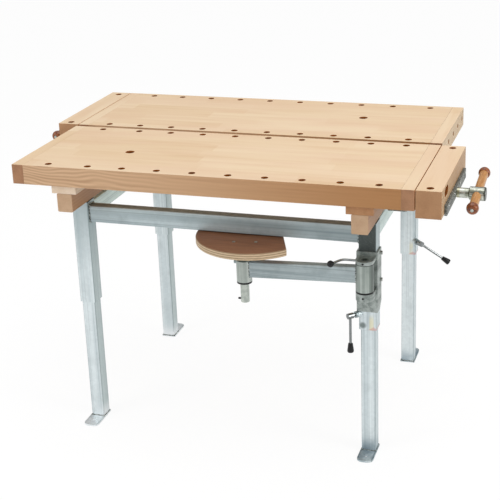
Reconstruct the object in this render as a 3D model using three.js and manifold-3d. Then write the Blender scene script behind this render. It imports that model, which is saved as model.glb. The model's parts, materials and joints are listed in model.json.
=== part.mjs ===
// Two-place woodworking bench: two beech tops with an end vise each, on a galvanised
// steel frame with telescopic legs, and a swing seat on the front right leg.
// Millimetres, +Z up, +X along the tops. The origin is on the floor under the middle of the whole.
import * as THREE from "three";
import { mergeVertices } from "three/addons/utils/BufferGeometryUtils.js";
import Module from "manifold-3d";

const wasm = await Module();
wasm.setup();

// Fits
const FIT = 0.3; // gap between pieces that meet, and around shafts in their bores
const OVERLAP = 1; // depth that joined shapes run into each other
const LEAST_CORNER = 1; // inside corner of a tube

// Tops
const TOP_LENGTH = 1376;
const TOP_DEPTH = 500;
const TOP_THICKNESS = 68;
const TOP_GAP = 22; // between the two tops
const END_CAP_WIDTH = 41;
const DOG_DIAMETER = 24;
const DOG_PITCH = 124;
const DOG_COUNT = 9; // evenly pitched holes in a row, from the vise end
const DOG_VISE_END = 116; // first hole from the vise end of the top
const DOG_FAR_STEP = 145; // from the pitched run to the last hole
const DOG_OUTER_EDGE = 30; // rows from the two long edges
const DOG_INNER_EDGE = 26;
const HOLDFAST_DIAMETER = 32;
const HOLDFAST_FAR_END = 342; // from the far end of the top
const HOLDFAST_INNER_EDGE = 284;
const CAP_BOLT_COUNT = 5;
const CAP_BOLT_PITCH = 106;
const CAP_BOLT_RECESS_DIAMETER = 18;
const CAP_BOLT_RECESS_DEPTH = 12;

// Vises
const JAW_WIDTH = 81;
const JAW_HEIGHT = 90;
const JAW_GAP = 3; // closed vise
const JAW_TRAVEL = 150;
const SCREW_DROP = 14; // screw and guide rods below the underside of the top
const SCREW_DIAMETER = 20;
const SCREW_RING_DIAMETER = 32;
const SCREW_RING_LENGTH = 8;
const NECK_DIAMETER = 33;
const NECK_LENGTH = 38;
const HUB_DIAMETER = 45;
const HUB_LENGTH = 55;
const HUB_CHAMFER = 4;
const GUIDE_DIAMETER = 20;
const GUIDE_SPACING = 260;
const GUIDE_GRIP = 40; // length left in the nut block at full opening
const PLATE_LENGTH = 400;
const PLATE_HEIGHT = 34;
const PLATE_THICKNESS = 9;
const PLATE_OVERHANG = 4; // plate below the jaw
const NUT_BLOCK_LENGTH = 60;
const NUT_BLOCK_HEIGHT = 36;
const NUT_BLOCK_SHOULDER = 30; // from a guide axis to the end of the block
const BAR_DIAMETER = 29;
const BAR_LENGTH = 284; // between knob centres
const BAR_PLACES = {
  front: { tilt: 6.4, shift: 28 }, // degrees, and mm that the bar has slid through its hub
  back: { tilt: -2.5, shift: -13 },
};
const KNOB_LENGTH = 28;
const KNOB_SOCKET = 16; // depth that the bar enters a knob
const KNOB_PROFILE = [
  // diameter, distance from the bar side
  [32, 0],
  [39, 5],
  [40, 12],
  [36, 22],
  [22, KNOB_LENGTH],
];
const FINGER_SLOT_LENGTH = 64;
const FINGER_SLOT_HEIGHT = 28;
const FINGER_SLOT_DEPTH = 28;
const FINGER_SLOT_DROP = 25; // centre below the top of the jaw
const FINGER_SLOT_END = 90; // centre from the outer end of the jaw

// Bearers under the tops
const BEARER_WIDTH = 55;
const BEARER_HEIGHT = 65;
const PACKING_WIDTH = 90;
const PACKING_THICKNESS = 33;
const PACKING_CLEAR = 30.5; // from the nut block to the packing board
const BEARER_SETBACK = 20; // from the outer edge of the tops
const BEARER_EDGE = 4; // rounding of the long edges

// Steel frame
const LEG_END_INSET = 137; // leg axis from the end of its bearer
const SLEEVE_SIZE = 60;
const SLEEVE_WALL = 4;
const SLEEVE_CORNER = 6;
const SLEEVE_LENGTH = 378;
const RAIL_HEIGHT = 60;
const RAIL_WIDTH = 40;
const RAIL_WALL = 3;
const RAIL_CORNER = 4;
const RAIL_DROP = 14; // rails below the top of the sleeves

// Telescopic legs
const LEG_SIZE = 50;
const LEG_WALL = 3;
const LEG_CORNER = 5;
const LEG_EXTENSION = 458; // tube in sight under the sleeve
const LEG_INSERTED = 120; // tube inside the sleeve
const FOOT_THICKNESS = 6;
const FOOT_WIDTH = 56;
const FOOT_TOE = 98; // from the leg axis to the toe
const FOOT_TOE_CORNER = 20;
const FOOT_HOLE_DIAMETER = 12;
const FOOT_HOLE_REACH = 62;

// Clamp levers at the sleeve corners
const LEVER_RISE = 56; // stud above the lower end of the sleeve
const BOSS_DIAMETER = 22;
const BOSS_LENGTH = 14; // beyond the corner of the sleeve
const STUD_DIAMETER = 10;
const LEVER_HUB_DIAMETER = 20;
const LEVER_HUB_LENGTH = 20;
const LEVER_HUB_REACH = 33; // hub centre beyond the corner of the sleeve
const LEVER_ROD_DIAMETER = 9;
const LEVER_ROD_LENGTH = 113;
const GRIP_LENGTH = 32;
const GRIP_SOCKET = 14;
const GRIP_PROFILE = [
  // diameter, distance from the hub side
  [14, 0],
  [16, 2],
  [23, 28],
  [20, GRIP_LENGTH],
];
const LEVER_PLACES = {
  // turn of the rod about its stud from straight down, and lean away from the leg, in degrees
  front_left: { turn: 180, lean: 0 },
  front_right: { turn: 0, lean: 0 },
  back_left: { turn: 90, lean: 0 },
  back_right: { turn: 50, lean: 30 },
};

// Swing seat
const BRACKET_CLEAR = 1; // bracket above the boss of the clamp lever
const BRACKET_PLATE = 5;
const BRACKET_DEPTH = 60;
const BRACKET_TAPER = 24;
const BRACKET_CREST = 13; // web above the upper collar
const LOWER_COLLAR_RISE = 60; // above the bottom of the bracket
const LOWER_COLLAR_HEIGHT = 26;
const UPPER_COLLAR_HEIGHT = 12;
const COLLAR_DIAMETER = 60;
const PIVOT_STANDOFF = 33; // pivot axis in front of the bracket
const PIN_DIAMETER = 30;
const PIN_BORE = 20;
const BARREL_LENGTH = 95;
const BARREL_BORE = 44;
const BUSH_FLANGE = 6;
const BUSH_LENGTH = 30;
const BRACKET_BOLT_DIAMETER = 8;
const BRACKET_BOLT_HEAD = 14;
const BRACKET_BOLT_HEAD_HEIGHT = 6;
const BRACKET_BOLT_BACK = 48; // bolts behind the face of the bracket
const BRACKET_BOLT_RISES = [101, 196];
const ARM_LENGTH = 413; // pivot to post
const ARM_FALL = 16; // from the pivot down to the post
const ARM_HEIGHT = 56;
const ARM_WIDTH = 30;
const ARM_WALL = 3;
const ARM_CORNER = 4;
const ARM_RISE = 121; // lower edge above the bottom of the bracket, at the pivot
const ARM_VENT_DIAMETER = 10; // in the underside of the tube
const ARM_VENT_REACH = 70;
const POST_DIAMETER = 30;
const POST_SLEEVE_DIAMETER = 52;
const POST_SLEEVE_BORE = 37;
const POST_SLEEVE_ABOVE = 2; // beyond the arm
const POST_SLEEVE_BELOW = 16;
const POST_BOSS_DIAMETER = 12; // for the clamp screw of the post
const POST_BOSS_LENGTH = 8;
const POST_BOSS_DROP = 9; // below the top of the post sleeve
const POST_FOOT = 70; // post below its bush
const PEG_DIAMETER = 7;
const PEG_LENGTH = 9;
const PEG_RISE = 9; // peg above the end of the post
const SEAT_DROP = 4; // seat below the front rail
const SEAT_THICKNESS = 25;
const SEAT_DIAMETER = 390;
const SEAT_OFFSET = 77; // middle of the seat behind the post
const SEAT_ASIDE = 11; // middle of the seat towards the pivot
const SEAT_FLAT = 99; // flat side from the middle of the seat
const SEAT_BACK_CUT = 25; // straight back, cut off the round
const SEAT_EDGE = 3;
const SEAT_TURN = 21; // degrees
const SEAT_PLATE_DIAMETER = 120;
const SEAT_PLATE_THICKNESS = 6;
const SEAT_HUB_DIAMETER = 44;
const SEAT_HUB_LENGTH = 14;
const SEAT_HUB_SOCKET = 12;
const LOCK_ROD_DIAMETER = 8;
const LOCK_ROD_REACH = 44; // straight stretch beyond the collar
const LOCK_CRANK_OUT = 28;
const LOCK_CRANK_FORWARD = 48;
const LOCK_BEND_SHARE = 0.3; // share of the crank that is bent
const LOCK_BALL_DIAMETER = 23;
const LOCK_BALL_SOCKET = 12;

// Levels, from the floor up
const SLEEVE_BOTTOM = FOOT_THICKNESS + LEG_EXTENSION;
const SLEEVE_TOP = SLEEVE_BOTTOM + SLEEVE_LENGTH;
const BEARER_TOP = SLEEVE_TOP + BEARER_HEIGHT;
const UNDERSIDE = BEARER_TOP + PACKING_THICKNESS;
const TOP_SURFACE = UNDERSIDE + TOP_THICKNESS;
const RAIL_TOP = SLEEVE_TOP - RAIL_DROP;
const SCREW_Z = UNDERSIDE - SCREW_DROP;
const LEG_TOP = SLEEVE_BOTTOM + LEG_INSERTED;
const LEVER_Z = SLEEVE_BOTTOM + LEVER_RISE;

// Places in plan
const OUTER_EDGE = TOP_GAP / 2 + TOP_DEPTH;
const TOP_MIDDLE = (TOP_GAP + TOP_DEPTH) / 2;
const BOARD_END = TOP_LENGTH / 2 - END_CAP_WIDTH;
const BEARER_REACH = OUTER_EDGE - BEARER_SETBACK;
const LEG_X = BOARD_END - NUT_BLOCK_LENGTH - PACKING_CLEAR - PACKING_WIDTH / 2;
const LEG_Y = BEARER_REACH - LEG_END_INSET;

// Materials
const BEECH = [0xdcb98f, 0.55, 0];
const PACKING_WOOD = [0xc99a62, 0.6, 0];
const KNOB_WOOD = [0x9c4f28, 0.4, 0];
const BAR_WOOD = [0xcb8b4a, 0.45, 0];
const SEAT_PLY = [0x7b5238, 0.5, 0];
const GALVANISED = [0xb7c0c0, 0.45, 0.8];
const BRIGHT_STEEL = [0xc9cdca, 0.3, 0.9];
const DARK_STEEL = [0x7d8484, 0.4, 0.9];
const BLACK_PLASTIC = [0x17181a, 0.4, 0];

const bench = new THREE.Group();

function place(parent, name, body, finish) {
  const [color, roughness, metalness] = finish;
  const data = body.getMesh();
  const geometry = new THREE.BufferGeometry();
  geometry.setAttribute("position", new THREE.BufferAttribute(data.vertProperties, 3));
  geometry.setIndex(new THREE.BufferAttribute(data.triVerts, 1));
  geometry.computeVertexNormals();
  const material = new THREE.MeshStandardMaterial({ color, roughness, metalness });
  const mesh = new THREE.Mesh(geometry, material);
  mesh.name = name;
  parent.add(mesh);
  return mesh;
}

// A closed geometry as a solid that can be joined and cut.
function solid(geometry) {
  geometry.deleteAttribute("normal");
  geometry.deleteAttribute("uv");
  const merged = mergeVertices(geometry, 1e-4);
  return new wasm.Manifold(
    new wasm.Mesh({
      numProp: 3,
      vertProperties: merged.attributes.position.array,
      triVerts: new Uint32Array(merged.index.array),
    }),
  );
}

function join(...bodies) {
  return bodies.reduce((a, b) => a.add(b));
}

function cut(body, ...tools) {
  return tools.reduce((a, b) => a.subtract(b), body);
}

// A box between two opposite corners.
function block(x0, x1, y0, y1, z0, z1) {
  const box = new THREE.BoxGeometry(x1 - x0, y1 - y0, z1 - z0);
  return solid(box.translate((x0 + x1) / 2, (y0 + y1) / 2, (z0 + z1) / 2));
}

// Turns a geometry made along +Y to run from a point in a direction.
function aim(geometry, from, direction) {
  const turn = new THREE.Quaternion().setFromUnitVectors(
    new THREE.Vector3(0, 1, 0),
    direction.clone().normalize(),
  );
  return geometry.applyQuaternion(turn).translate(from.x, from.y, from.z);
}

// A round bar from one point to another.
function rod(from, to, diameter, sides = 20) {
  const line = to.clone().sub(from);
  const bar = new THREE.CylinderGeometry(diameter / 2, diameter / 2, line.length(), sides);
  return solid(aim(bar.translate(0, line.length() / 2, 0), from, line));
}

// A turned piece: pairs of diameter and length along the axis, closed on the axis.
function turned(from, direction, steps, sides = 20) {
  const profile = [new THREE.Vector2(0, steps[0][1])];
  for (const [diameter, along] of steps) {
    profile.push(new THREE.Vector2(diameter / 2, along));
  }
  profile.push(new THREE.Vector2(0, steps.at(-1)[1]));
  return solid(aim(new THREE.LatheGeometry(profile, sides), from, direction));
}

function at(x, y, z) {
  return new THREE.Vector3(x, y, z);
}

// A rectangle with round corners, centred on the origin.
function roundedRectangle(width, height, corner, Outline = THREE.Shape) {
  const x = width / 2 - corner;
  const y = height / 2 - corner;
  const outline = new Outline();
  outline.absarc(x, y, corner, 0, Math.PI / 2);
  outline.absarc(-x, y, corner, Math.PI / 2, Math.PI);
  outline.absarc(-x, -y, corner, Math.PI, 1.5 * Math.PI);
  outline.absarc(x, -y, corner, 1.5 * Math.PI, 2 * Math.PI);
  outline.closePath();
  return outline;
}

// A rectangular tube that runs up +Z from the origin.
function tube(width, height, corner, wall, length) {
  const shape = roundedRectangle(width, height, corner);
  const inner = Math.max(corner - wall, LEAST_CORNER);
  shape.holes.push(roundedRectangle(width - 2 * wall, height - 2 * wall, inner, THREE.Path));
  return new THREE.ExtrudeGeometry(shape, { depth: length, bevelEnabled: false, curveSegments: 3 });
}

// A bar with rounded long edges that runs along Y, as far each way, between two levels.
function bearerBar(width, reach, z0, z1, corner) {
  const shape = roundedRectangle(width, z1 - z0, corner);
  const bar = new THREE.ExtrudeGeometry(shape, { depth: 2 * reach, bevelEnabled: false, curveSegments: 3 });
  return solid(bar.rotateX(Math.PI / 2).translate(0, reach, (z0 + z1) / 2));
}

// One top with its end vise, laid out as the front half: the vise is at the +X end.
function makeTop(side) {
  const half = new THREE.Group();
  const outer = -OUTER_EDGE;
  const inner = -TOP_GAP / 2;
  const end = TOP_LENGTH / 2;
  const middle = -TOP_MIDDLE;
  const rows = [outer + DOG_OUTER_EDGE, inner - DOG_INNER_EDGE];

  const holes = [];
  const drill = (x, y, diameter, z0, z1) => holes.push(rod(at(x, y, z0), at(x, y, z1), diameter, 20));
  const lastPitched = end - DOG_VISE_END - (DOG_COUNT - 1) * DOG_PITCH;
  for (const y of rows) {
    for (let i = 0; i < DOG_COUNT; i++) {
      drill(end - DOG_VISE_END - i * DOG_PITCH, y, DOG_DIAMETER, UNDERSIDE - FIT, TOP_SURFACE + FIT);
    }
    drill(lastPitched - DOG_FAR_STEP, y, DOG_DIAMETER, UNDERSIDE - FIT, TOP_SURFACE + FIT);
  }
  drill(
    HOLDFAST_FAR_END - end,
    inner - HOLDFAST_INNER_EDGE,
    HOLDFAST_DIAMETER,
    UNDERSIDE - FIT,
    TOP_SURFACE + FIT,
  );
  const board = block(-BOARD_END, BOARD_END, outer, inner, UNDERSIDE + FIT, TOP_SURFACE);
  place(half, side + "_top_board", cut(board, ...holes), BEECH);

  // Breadboard ends with sunk bolts
  for (const [name, sign] of [["vise", 1], ["far", -1]]) {
    const face = sign * end;
    const joint = sign * (BOARD_END + FIT);
    const cap = block(
      Math.min(face, joint),
      Math.max(face, joint),
      outer,
      inner,
      UNDERSIDE + FIT,
      TOP_SURFACE,
    );
    const recesses = [];
    for (let i = 0; i < CAP_BOLT_COUNT; i++) {
      const y = middle + (i - (CAP_BOLT_COUNT - 1) / 2) * CAP_BOLT_PITCH;
      const z = UNDERSIDE + TOP_THICKNESS / 2;
      const deep = at(face - sign * CAP_BOLT_RECESS_DEPTH, y, z);
      recesses.push(rod(deep, at(face + sign * FIT, y, z), CAP_BOLT_RECESS_DIAMETER, 16));
    }
    place(half, side + "_" + name + "_end_cap", cut(cap, ...recesses), BEECH);
  }

  // Jaw, with slots from below for the screw and the guide rods
  const jawFace = end + JAW_GAP;
  const jawBack = jawFace + JAW_WIDTH;
  const jawBottom = TOP_SURFACE - JAW_HEIGHT;
  const guides = [middle - GUIDE_SPACING / 2, middle + GUIDE_SPACING / 2];
  const slot = (y, diameter, x0, x1) =>
    join(
      rod(at(x0, y, SCREW_Z), at(x1, y, SCREW_Z), diameter),
      block(x0, x1, y - diameter / 2, y + diameter / 2, jawBottom - PLATE_OVERHANG - FIT, SCREW_Z),
    );
  const screwSlot = SCREW_DIAMETER + 2 * FIT;
  const guideSlot = GUIDE_DIAMETER + 2 * FIT;
  const ringSlot = SCREW_RING_DIAMETER + 2 * FIT;
  const ringFrom = jawBack - SCREW_RING_LENGTH - FIT;
  const jawCuts = [
    slot(middle, screwSlot, jawFace - FIT, jawBack + FIT),
    slot(middle, ringSlot, ringFrom - FIT, jawBack + FIT),
  ];
  for (const y of guides) jawCuts.push(slot(y, guideSlot, jawFace - FIT, jawBack + FIT));
  for (const y of rows) {
    const x = jawFace + JAW_WIDTH / 2;
    jawCuts.push(rod(at(x, y, jawBottom - FIT), at(x, y, TOP_SURFACE + FIT), DOG_DIAMETER, 20));
  }
  const fingerY = outer + FINGER_SLOT_END;
  const fingerZ = TOP_SURFACE - FINGER_SLOT_DROP;
  const fingerRun = (FINGER_SLOT_LENGTH - FINGER_SLOT_HEIGHT) / 2;
  const fingerFrom = jawBack - FINGER_SLOT_DEPTH;
  const fingerTop = fingerZ + FINGER_SLOT_HEIGHT / 2;
  jawCuts.push(
    block(
      fingerFrom,
      jawBack + FIT,
      fingerY - fingerRun,
      fingerY + fingerRun,
      fingerTop - FINGER_SLOT_HEIGHT,
      fingerTop,
    ),
  );
  for (const y of [fingerY - fingerRun, fingerY + fingerRun]) {
    jawCuts.push(rod(at(fingerFrom, y, fingerZ), at(jawBack + FIT, y, fingerZ), FINGER_SLOT_HEIGHT));
  }
  const jaw = block(jawFace, jawBack, outer, inner, jawBottom, TOP_SURFACE);
  place(half, side + "_vise_jaw", cut(jaw, ...jawCuts), BEECH);

  // Steel plate that carries the screw and the guide rods
  const plateFrom = jawBack + FIT;
  const plateTo = plateFrom + PLATE_THICKNESS;
  const plateBottom = jawBottom - PLATE_OVERHANG;
  const plate = block(
    plateFrom,
    plateTo,
    middle - PLATE_LENGTH / 2,
    middle + PLATE_LENGTH / 2,
    plateBottom,
    plateBottom + PLATE_HEIGHT,
  );
  const plateSlot = slot(middle, screwSlot, plateFrom - FIT, plateTo + FIT);
  place(half, side + "_vise_plate", cut(plate, plateSlot), DARK_STEEL);

  // Guide rods and nut block under the top
  const rodEnd = BOARD_END - GUIDE_GRIP - JAW_TRAVEL;
  guides.forEach((y, i) => {
    const guide = rod(at(rodEnd, y, SCREW_Z), at(plateFrom - FIT, y, SCREW_Z), GUIDE_DIAMETER);
    place(half, side + "_vise_guide_rod_" + (i + 1), guide, BRIGHT_STEEL);
  });
  const nutBlock = block(
    BOARD_END - NUT_BLOCK_LENGTH,
    BOARD_END,
    guides[0] - NUT_BLOCK_SHOULDER,
    guides[1] + NUT_BLOCK_SHOULDER,
    UNDERSIDE - NUT_BLOCK_HEIGHT,
    UNDERSIDE,
  );
  const through = (y, diameter) =>
    rod(at(BOARD_END - NUT_BLOCK_LENGTH - FIT, y, SCREW_Z), at(BOARD_END + FIT, y, SCREW_Z), diameter);
  place(
    half,
    side + "_vise_nut_block",
    cut(nutBlock, through(middle, screwSlot), ...guides.map((y) => through(y, guideSlot))),
    DARK_STEEL,
  );

  // Screw with its ring behind the plate, its neck and its hub, bored for the bar
  const neckFrom = plateTo + FIT;
  const hubFrom = neckFrom + NECK_LENGTH;
  const hubTo = hubFrom + HUB_LENGTH;
  const screw = turned(at(0, middle, SCREW_Z), at(1, 0, 0), [
    [SCREW_DIAMETER, rodEnd],
    [SCREW_DIAMETER, ringFrom],
    [SCREW_RING_DIAMETER, ringFrom],
    [SCREW_RING_DIAMETER, ringFrom + SCREW_RING_LENGTH],
    [SCREW_DIAMETER, ringFrom + SCREW_RING_LENGTH],
    [SCREW_DIAMETER, neckFrom],
    [NECK_DIAMETER, neckFrom],
    [NECK_DIAMETER, hubFrom],
    [HUB_DIAMETER, hubFrom + HUB_CHAMFER],
    [HUB_DIAMETER, hubTo - HUB_CHAMFER / 2],
    [HUB_DIAMETER - HUB_CHAMFER, hubTo],
  ]);
  const hubCentre = at((hubFrom + hubTo) / 2, middle, SCREW_Z);
  const { tilt: tiltDegrees, shift: barShift } = BAR_PLACES[side];
  const tilt = THREE.MathUtils.degToRad(tiltDegrees);
  const along = at(0, Math.cos(tilt), Math.sin(tilt));
  const onBar = (distance) => hubCentre.clone().addScaledVector(along, distance);
  const bore = rod(onBar(-HUB_DIAMETER), onBar(HUB_DIAMETER), BAR_DIAMETER + 2 * FIT);
  place(half, side + "_vise_screw", cut(screw, bore), BRIGHT_STEEL);

  // Bar with a turned knob on each end
  const reach = BAR_LENGTH / 2;
  const barEnd = reach - KNOB_LENGTH / 2 + KNOB_SOCKET;
  const bar = rod(onBar(barShift - barEnd), onBar(barShift + barEnd), BAR_DIAMETER);
  place(half, side + "_vise_bar", bar, BAR_WOOD);
  for (const [name, sign] of [["outer", -1], ["inner", 1]]) {
    const root = onBar(barShift + sign * (reach - KNOB_LENGTH / 2));
    const outward = along.clone().multiplyScalar(sign);
    const knob = turned(root, outward, KNOB_PROFILE);
    const socketEnd = root.clone().addScaledVector(outward, KNOB_SOCKET + FIT);
    const mouth = root.clone().addScaledVector(outward, -FIT);
    const socket = rod(mouth, socketEnd, BAR_DIAMETER + 2 * FIT);
    place(half, side + "_vise_knob_" + name, cut(knob, socket), KNOB_WOOD);
  }
  return half;
}

bench.add(makeTop("front"));
const backHalf = makeTop("back");
backHalf.rotation.z = Math.PI;
bench.add(backHalf);

// Bearers and packing boards; each packing board is grooved for the vise above it
function makeBearers() {
  for (const [name, sign] of [["left", -1], ["right", 1]]) {
    const x = sign * LEG_X;
    const bearer = bearerBar(BEARER_WIDTH, BEARER_REACH, SLEEVE_TOP + FIT, BEARER_TOP, BEARER_EDGE);
    place(bench, name + "_bearer", bearer.translate(x, 0, 0), BEECH);
    const x0 = x - PACKING_WIDTH / 2;
    const x1 = x + PACKING_WIDTH / 2;
    const board = block(x0, x1, -BEARER_REACH, BEARER_REACH, BEARER_TOP + FIT, UNDERSIDE);
    const grooves = [];
    const widest = Math.max(SCREW_DIAMETER, GUIDE_DIAMETER) + 4 * FIT;
    for (const offset of [-GUIDE_SPACING / 2, 0, GUIDE_SPACING / 2]) {
      const y = -sign * (TOP_MIDDLE - offset);
      grooves.push(
        block(
          x0 - FIT,
          x1 + FIT,
          y - widest / 2,
          y + widest / 2,
          SCREW_Z - widest / 2,
          UNDERSIDE + FIT,
        ),
      );
    }
    place(bench, name + "_packing_board", cut(board, ...grooves), PACKING_WOOD);
  }
}
makeBearers();

// Rails between the sleeves
function makeRails() {
  const runX = 2 * LEG_X - SLEEVE_SIZE - 2 * FIT;
  const runY = 2 * LEG_Y - SLEEVE_SIZE - 2 * FIT;
  const z = RAIL_TOP - RAIL_HEIGHT / 2;
  for (const [name, sign] of [["front", -1], ["back", 1]]) {
    const rail = tube(RAIL_HEIGHT, RAIL_WIDTH, RAIL_CORNER, RAIL_WALL, runX);
    rail.rotateY(Math.PI / 2).translate(-runX / 2, sign * LEG_Y, z);
    place(bench, name + "_rail", solid(rail), GALVANISED);
  }
  for (const [name, sign] of [["left", -1], ["right", 1]]) {
    const rail = tube(RAIL_WIDTH, RAIL_HEIGHT, RAIL_CORNER, RAIL_WALL, runY);
    rail.rotateX(Math.PI / 2).translate(sign * LEG_X, runY / 2, z);
    place(bench, name + "_side_rail", solid(rail), GALVANISED);
  }
}
makeRails();

// Sleeve, telescopic leg and clamp lever at one corner of the frame.
// The stud of the lever runs out along a diagonal.
function makeLeg(name, sx, sy, studX, studY, extraCuts) {
  const x = sx * LEG_X;
  const y = sy * LEG_Y;
  const outward = at(studX, studY, 0).normalize();
  const axis = (distance) => at(x, y, LEVER_Z).addScaledVector(outward, distance);
  const corner = (SLEEVE_SIZE / 2) * Math.SQRT2;
  const innerCorner = (SLEEVE_SIZE / 2 - SLEEVE_WALL) * Math.SQRT2;
  const legCorner = (LEG_SIZE / 2) * Math.SQRT2 - LEG_CORNER * (Math.SQRT2 - 1);

  const sleeveTube = tube(SLEEVE_SIZE, SLEEVE_SIZE, SLEEVE_CORNER, SLEEVE_WALL, SLEEVE_LENGTH);
  const boss = rod(axis(innerCorner), axis(corner + BOSS_LENGTH), BOSS_DIAMETER, 20);
  const studHole = rod(
    axis(innerCorner / 2),
    axis(corner + BOSS_LENGTH + FIT),
    STUD_DIAMETER + 2 * FIT,
    16,
  );
  const sleeve = join(solid(sleeveTube.translate(x, y, SLEEVE_BOTTOM)), boss);
  place(bench, name + "_leg_sleeve", cut(sleeve, studHole, ...extraCuts), GALVANISED);

  // Leg tube welded on a foot plate that points away from the bench
  const legTube = tube(LEG_SIZE, LEG_SIZE, LEG_CORNER, LEG_WALL, LEG_TOP - FOOT_THICKNESS / 2);
  const heel = LEG_SIZE / 2;
  const side = FOOT_WIDTH / 2;
  const toe = new THREE.Shape();
  toe.moveTo(-side, heel);
  toe.lineTo(-side, FOOT_TOE_CORNER - FOOT_TOE);
  const toeY = FOOT_TOE_CORNER - FOOT_TOE;
  toe.absarc(FOOT_TOE_CORNER - side, toeY, FOOT_TOE_CORNER, Math.PI, 1.5 * Math.PI);
  toe.absarc(side - FOOT_TOE_CORNER, toeY, FOOT_TOE_CORNER, 1.5 * Math.PI, 2 * Math.PI);
  toe.lineTo(side, heel);
  const foot = new THREE.ExtrudeGeometry(toe, {
    depth: FOOT_THICKNESS,
    bevelEnabled: false,
    curveSegments: 5,
  });
  if (sy > 0) foot.rotateZ(Math.PI);
  const holeY = y + sy * FOOT_HOLE_REACH;
  const footHole = rod(
    at(x, holeY, -FIT),
    at(x, holeY, FOOT_THICKNESS + FIT),
    FOOT_HOLE_DIAMETER,
    16,
  );
  const leg = join(
    solid(legTube.translate(x, y, FOOT_THICKNESS / 2)),
    solid(foot.translate(x, y, 0)),
  );
  place(bench, name + "_leg", cut(leg, footHole), GALVANISED);

  // Lever: stud, hub and rod in one piece, with a grip on the rod
  const hubFrom = corner + LEVER_HUB_REACH - LEVER_HUB_LENGTH / 2;
  const hubTo = hubFrom + LEVER_HUB_LENGTH;
  const swing = THREE.MathUtils.degToRad(LEVER_PLACES[name].turn);
  const lean = THREE.MathUtils.degToRad(LEVER_PLACES[name].lean);
  const rodWay = at(-outward.y, outward.x, 0)
    .multiplyScalar(Math.sin(swing))
    .add(at(0, 0, -Math.cos(swing)))
    .multiplyScalar(Math.cos(lean))
    .addScaledVector(outward, Math.sin(lean));
  const hubCentre = axis(corner + LEVER_HUB_REACH);
  const onRod = (distance) => hubCentre.clone().addScaledVector(rodWay, distance);
  const lever = join(
    rod(axis(legCorner + FIT), axis(hubFrom + OVERLAP), STUD_DIAMETER, 16),
    rod(axis(hubFrom), axis(hubTo), LEVER_HUB_DIAMETER, 20),
    rod(onRod(0), onRod(LEVER_ROD_LENGTH), LEVER_ROD_DIAMETER, 16),
  );
  place(bench, name + "_clamp_lever", lever, BRIGHT_STEEL);
  const gripFrom = LEVER_ROD_LENGTH - GRIP_SOCKET;
  const grip = turned(onRod(gripFrom), rodWay, GRIP_PROFILE);
  const socket = rod(
    onRod(gripFrom - FIT),
    onRod(LEVER_ROD_LENGTH + FIT),
    LEVER_ROD_DIAMETER + 2 * FIT,
    16,
  );
  place(bench, name + "_lever_grip", cut(grip, socket), BLACK_PLASTIC);
}

// Swing seat: places shared by the bracket, the arm and the front right sleeve
const BRACKET_BOTTOM = LEVER_Z + BOSS_DIAMETER / 2 + BRACKET_CLEAR;
const LOWER_COLLAR_TOP = BRACKET_BOTTOM + LOWER_COLLAR_RISE + LOWER_COLLAR_HEIGHT;
const BARREL_BOTTOM = LOWER_COLLAR_TOP + BUSH_FLANGE + 2 * FIT;
const BARREL_TOP = BARREL_BOTTOM + BARREL_LENGTH;
const UPPER_COLLAR_BOTTOM = BARREL_TOP + FIT;
const UPPER_COLLAR_TOP = UPPER_COLLAR_BOTTOM + UPPER_COLLAR_HEIGHT;
const BRACKET_TOP = UPPER_COLLAR_TOP + BRACKET_CREST;
const BRACKET_BACK = -LEG_Y - SLEEVE_SIZE / 2 - FIT;
const BRACKET_FACE = BRACKET_BACK - BRACKET_PLATE;
const PIVOT_Y = BRACKET_FACE - PIVOT_STANDOFF;
const BRACKET_INSIDE = SLEEVE_SIZE / 2 + FIT;
const BRACKET_OUTSIDE = BRACKET_INSIDE + BRACKET_PLATE;
const BOLT_Y = BRACKET_FACE + BRACKET_BOLT_BACK;
const LOCK_Z = (UPPER_COLLAR_BOTTOM + UPPER_COLLAR_TOP) / 2;

// Holes for the bracket bolts, through one side plate and one wall of the sleeve
const boltHoles = BRACKET_BOLT_RISES.map((rise) =>
  rod(
    at(LEG_X + SLEEVE_SIZE / 2 - SLEEVE_WALL - FIT, BOLT_Y, BRACKET_BOTTOM + rise),
    at(LEG_X + BRACKET_OUTSIDE + FIT, BOLT_Y, BRACKET_BOTTOM + rise),
    BRACKET_BOLT_DIAMETER + 2 * FIT,
    16,
  ),
);

makeLeg("front_left", -1, -1, -1, 1, []);
makeLeg("front_right", 1, -1, -1, -1, boltHoles);
makeLeg("back_left", -1, 1, 1, 1, []);
makeLeg("back_right", 1, 1, 1, -1, []);

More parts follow.
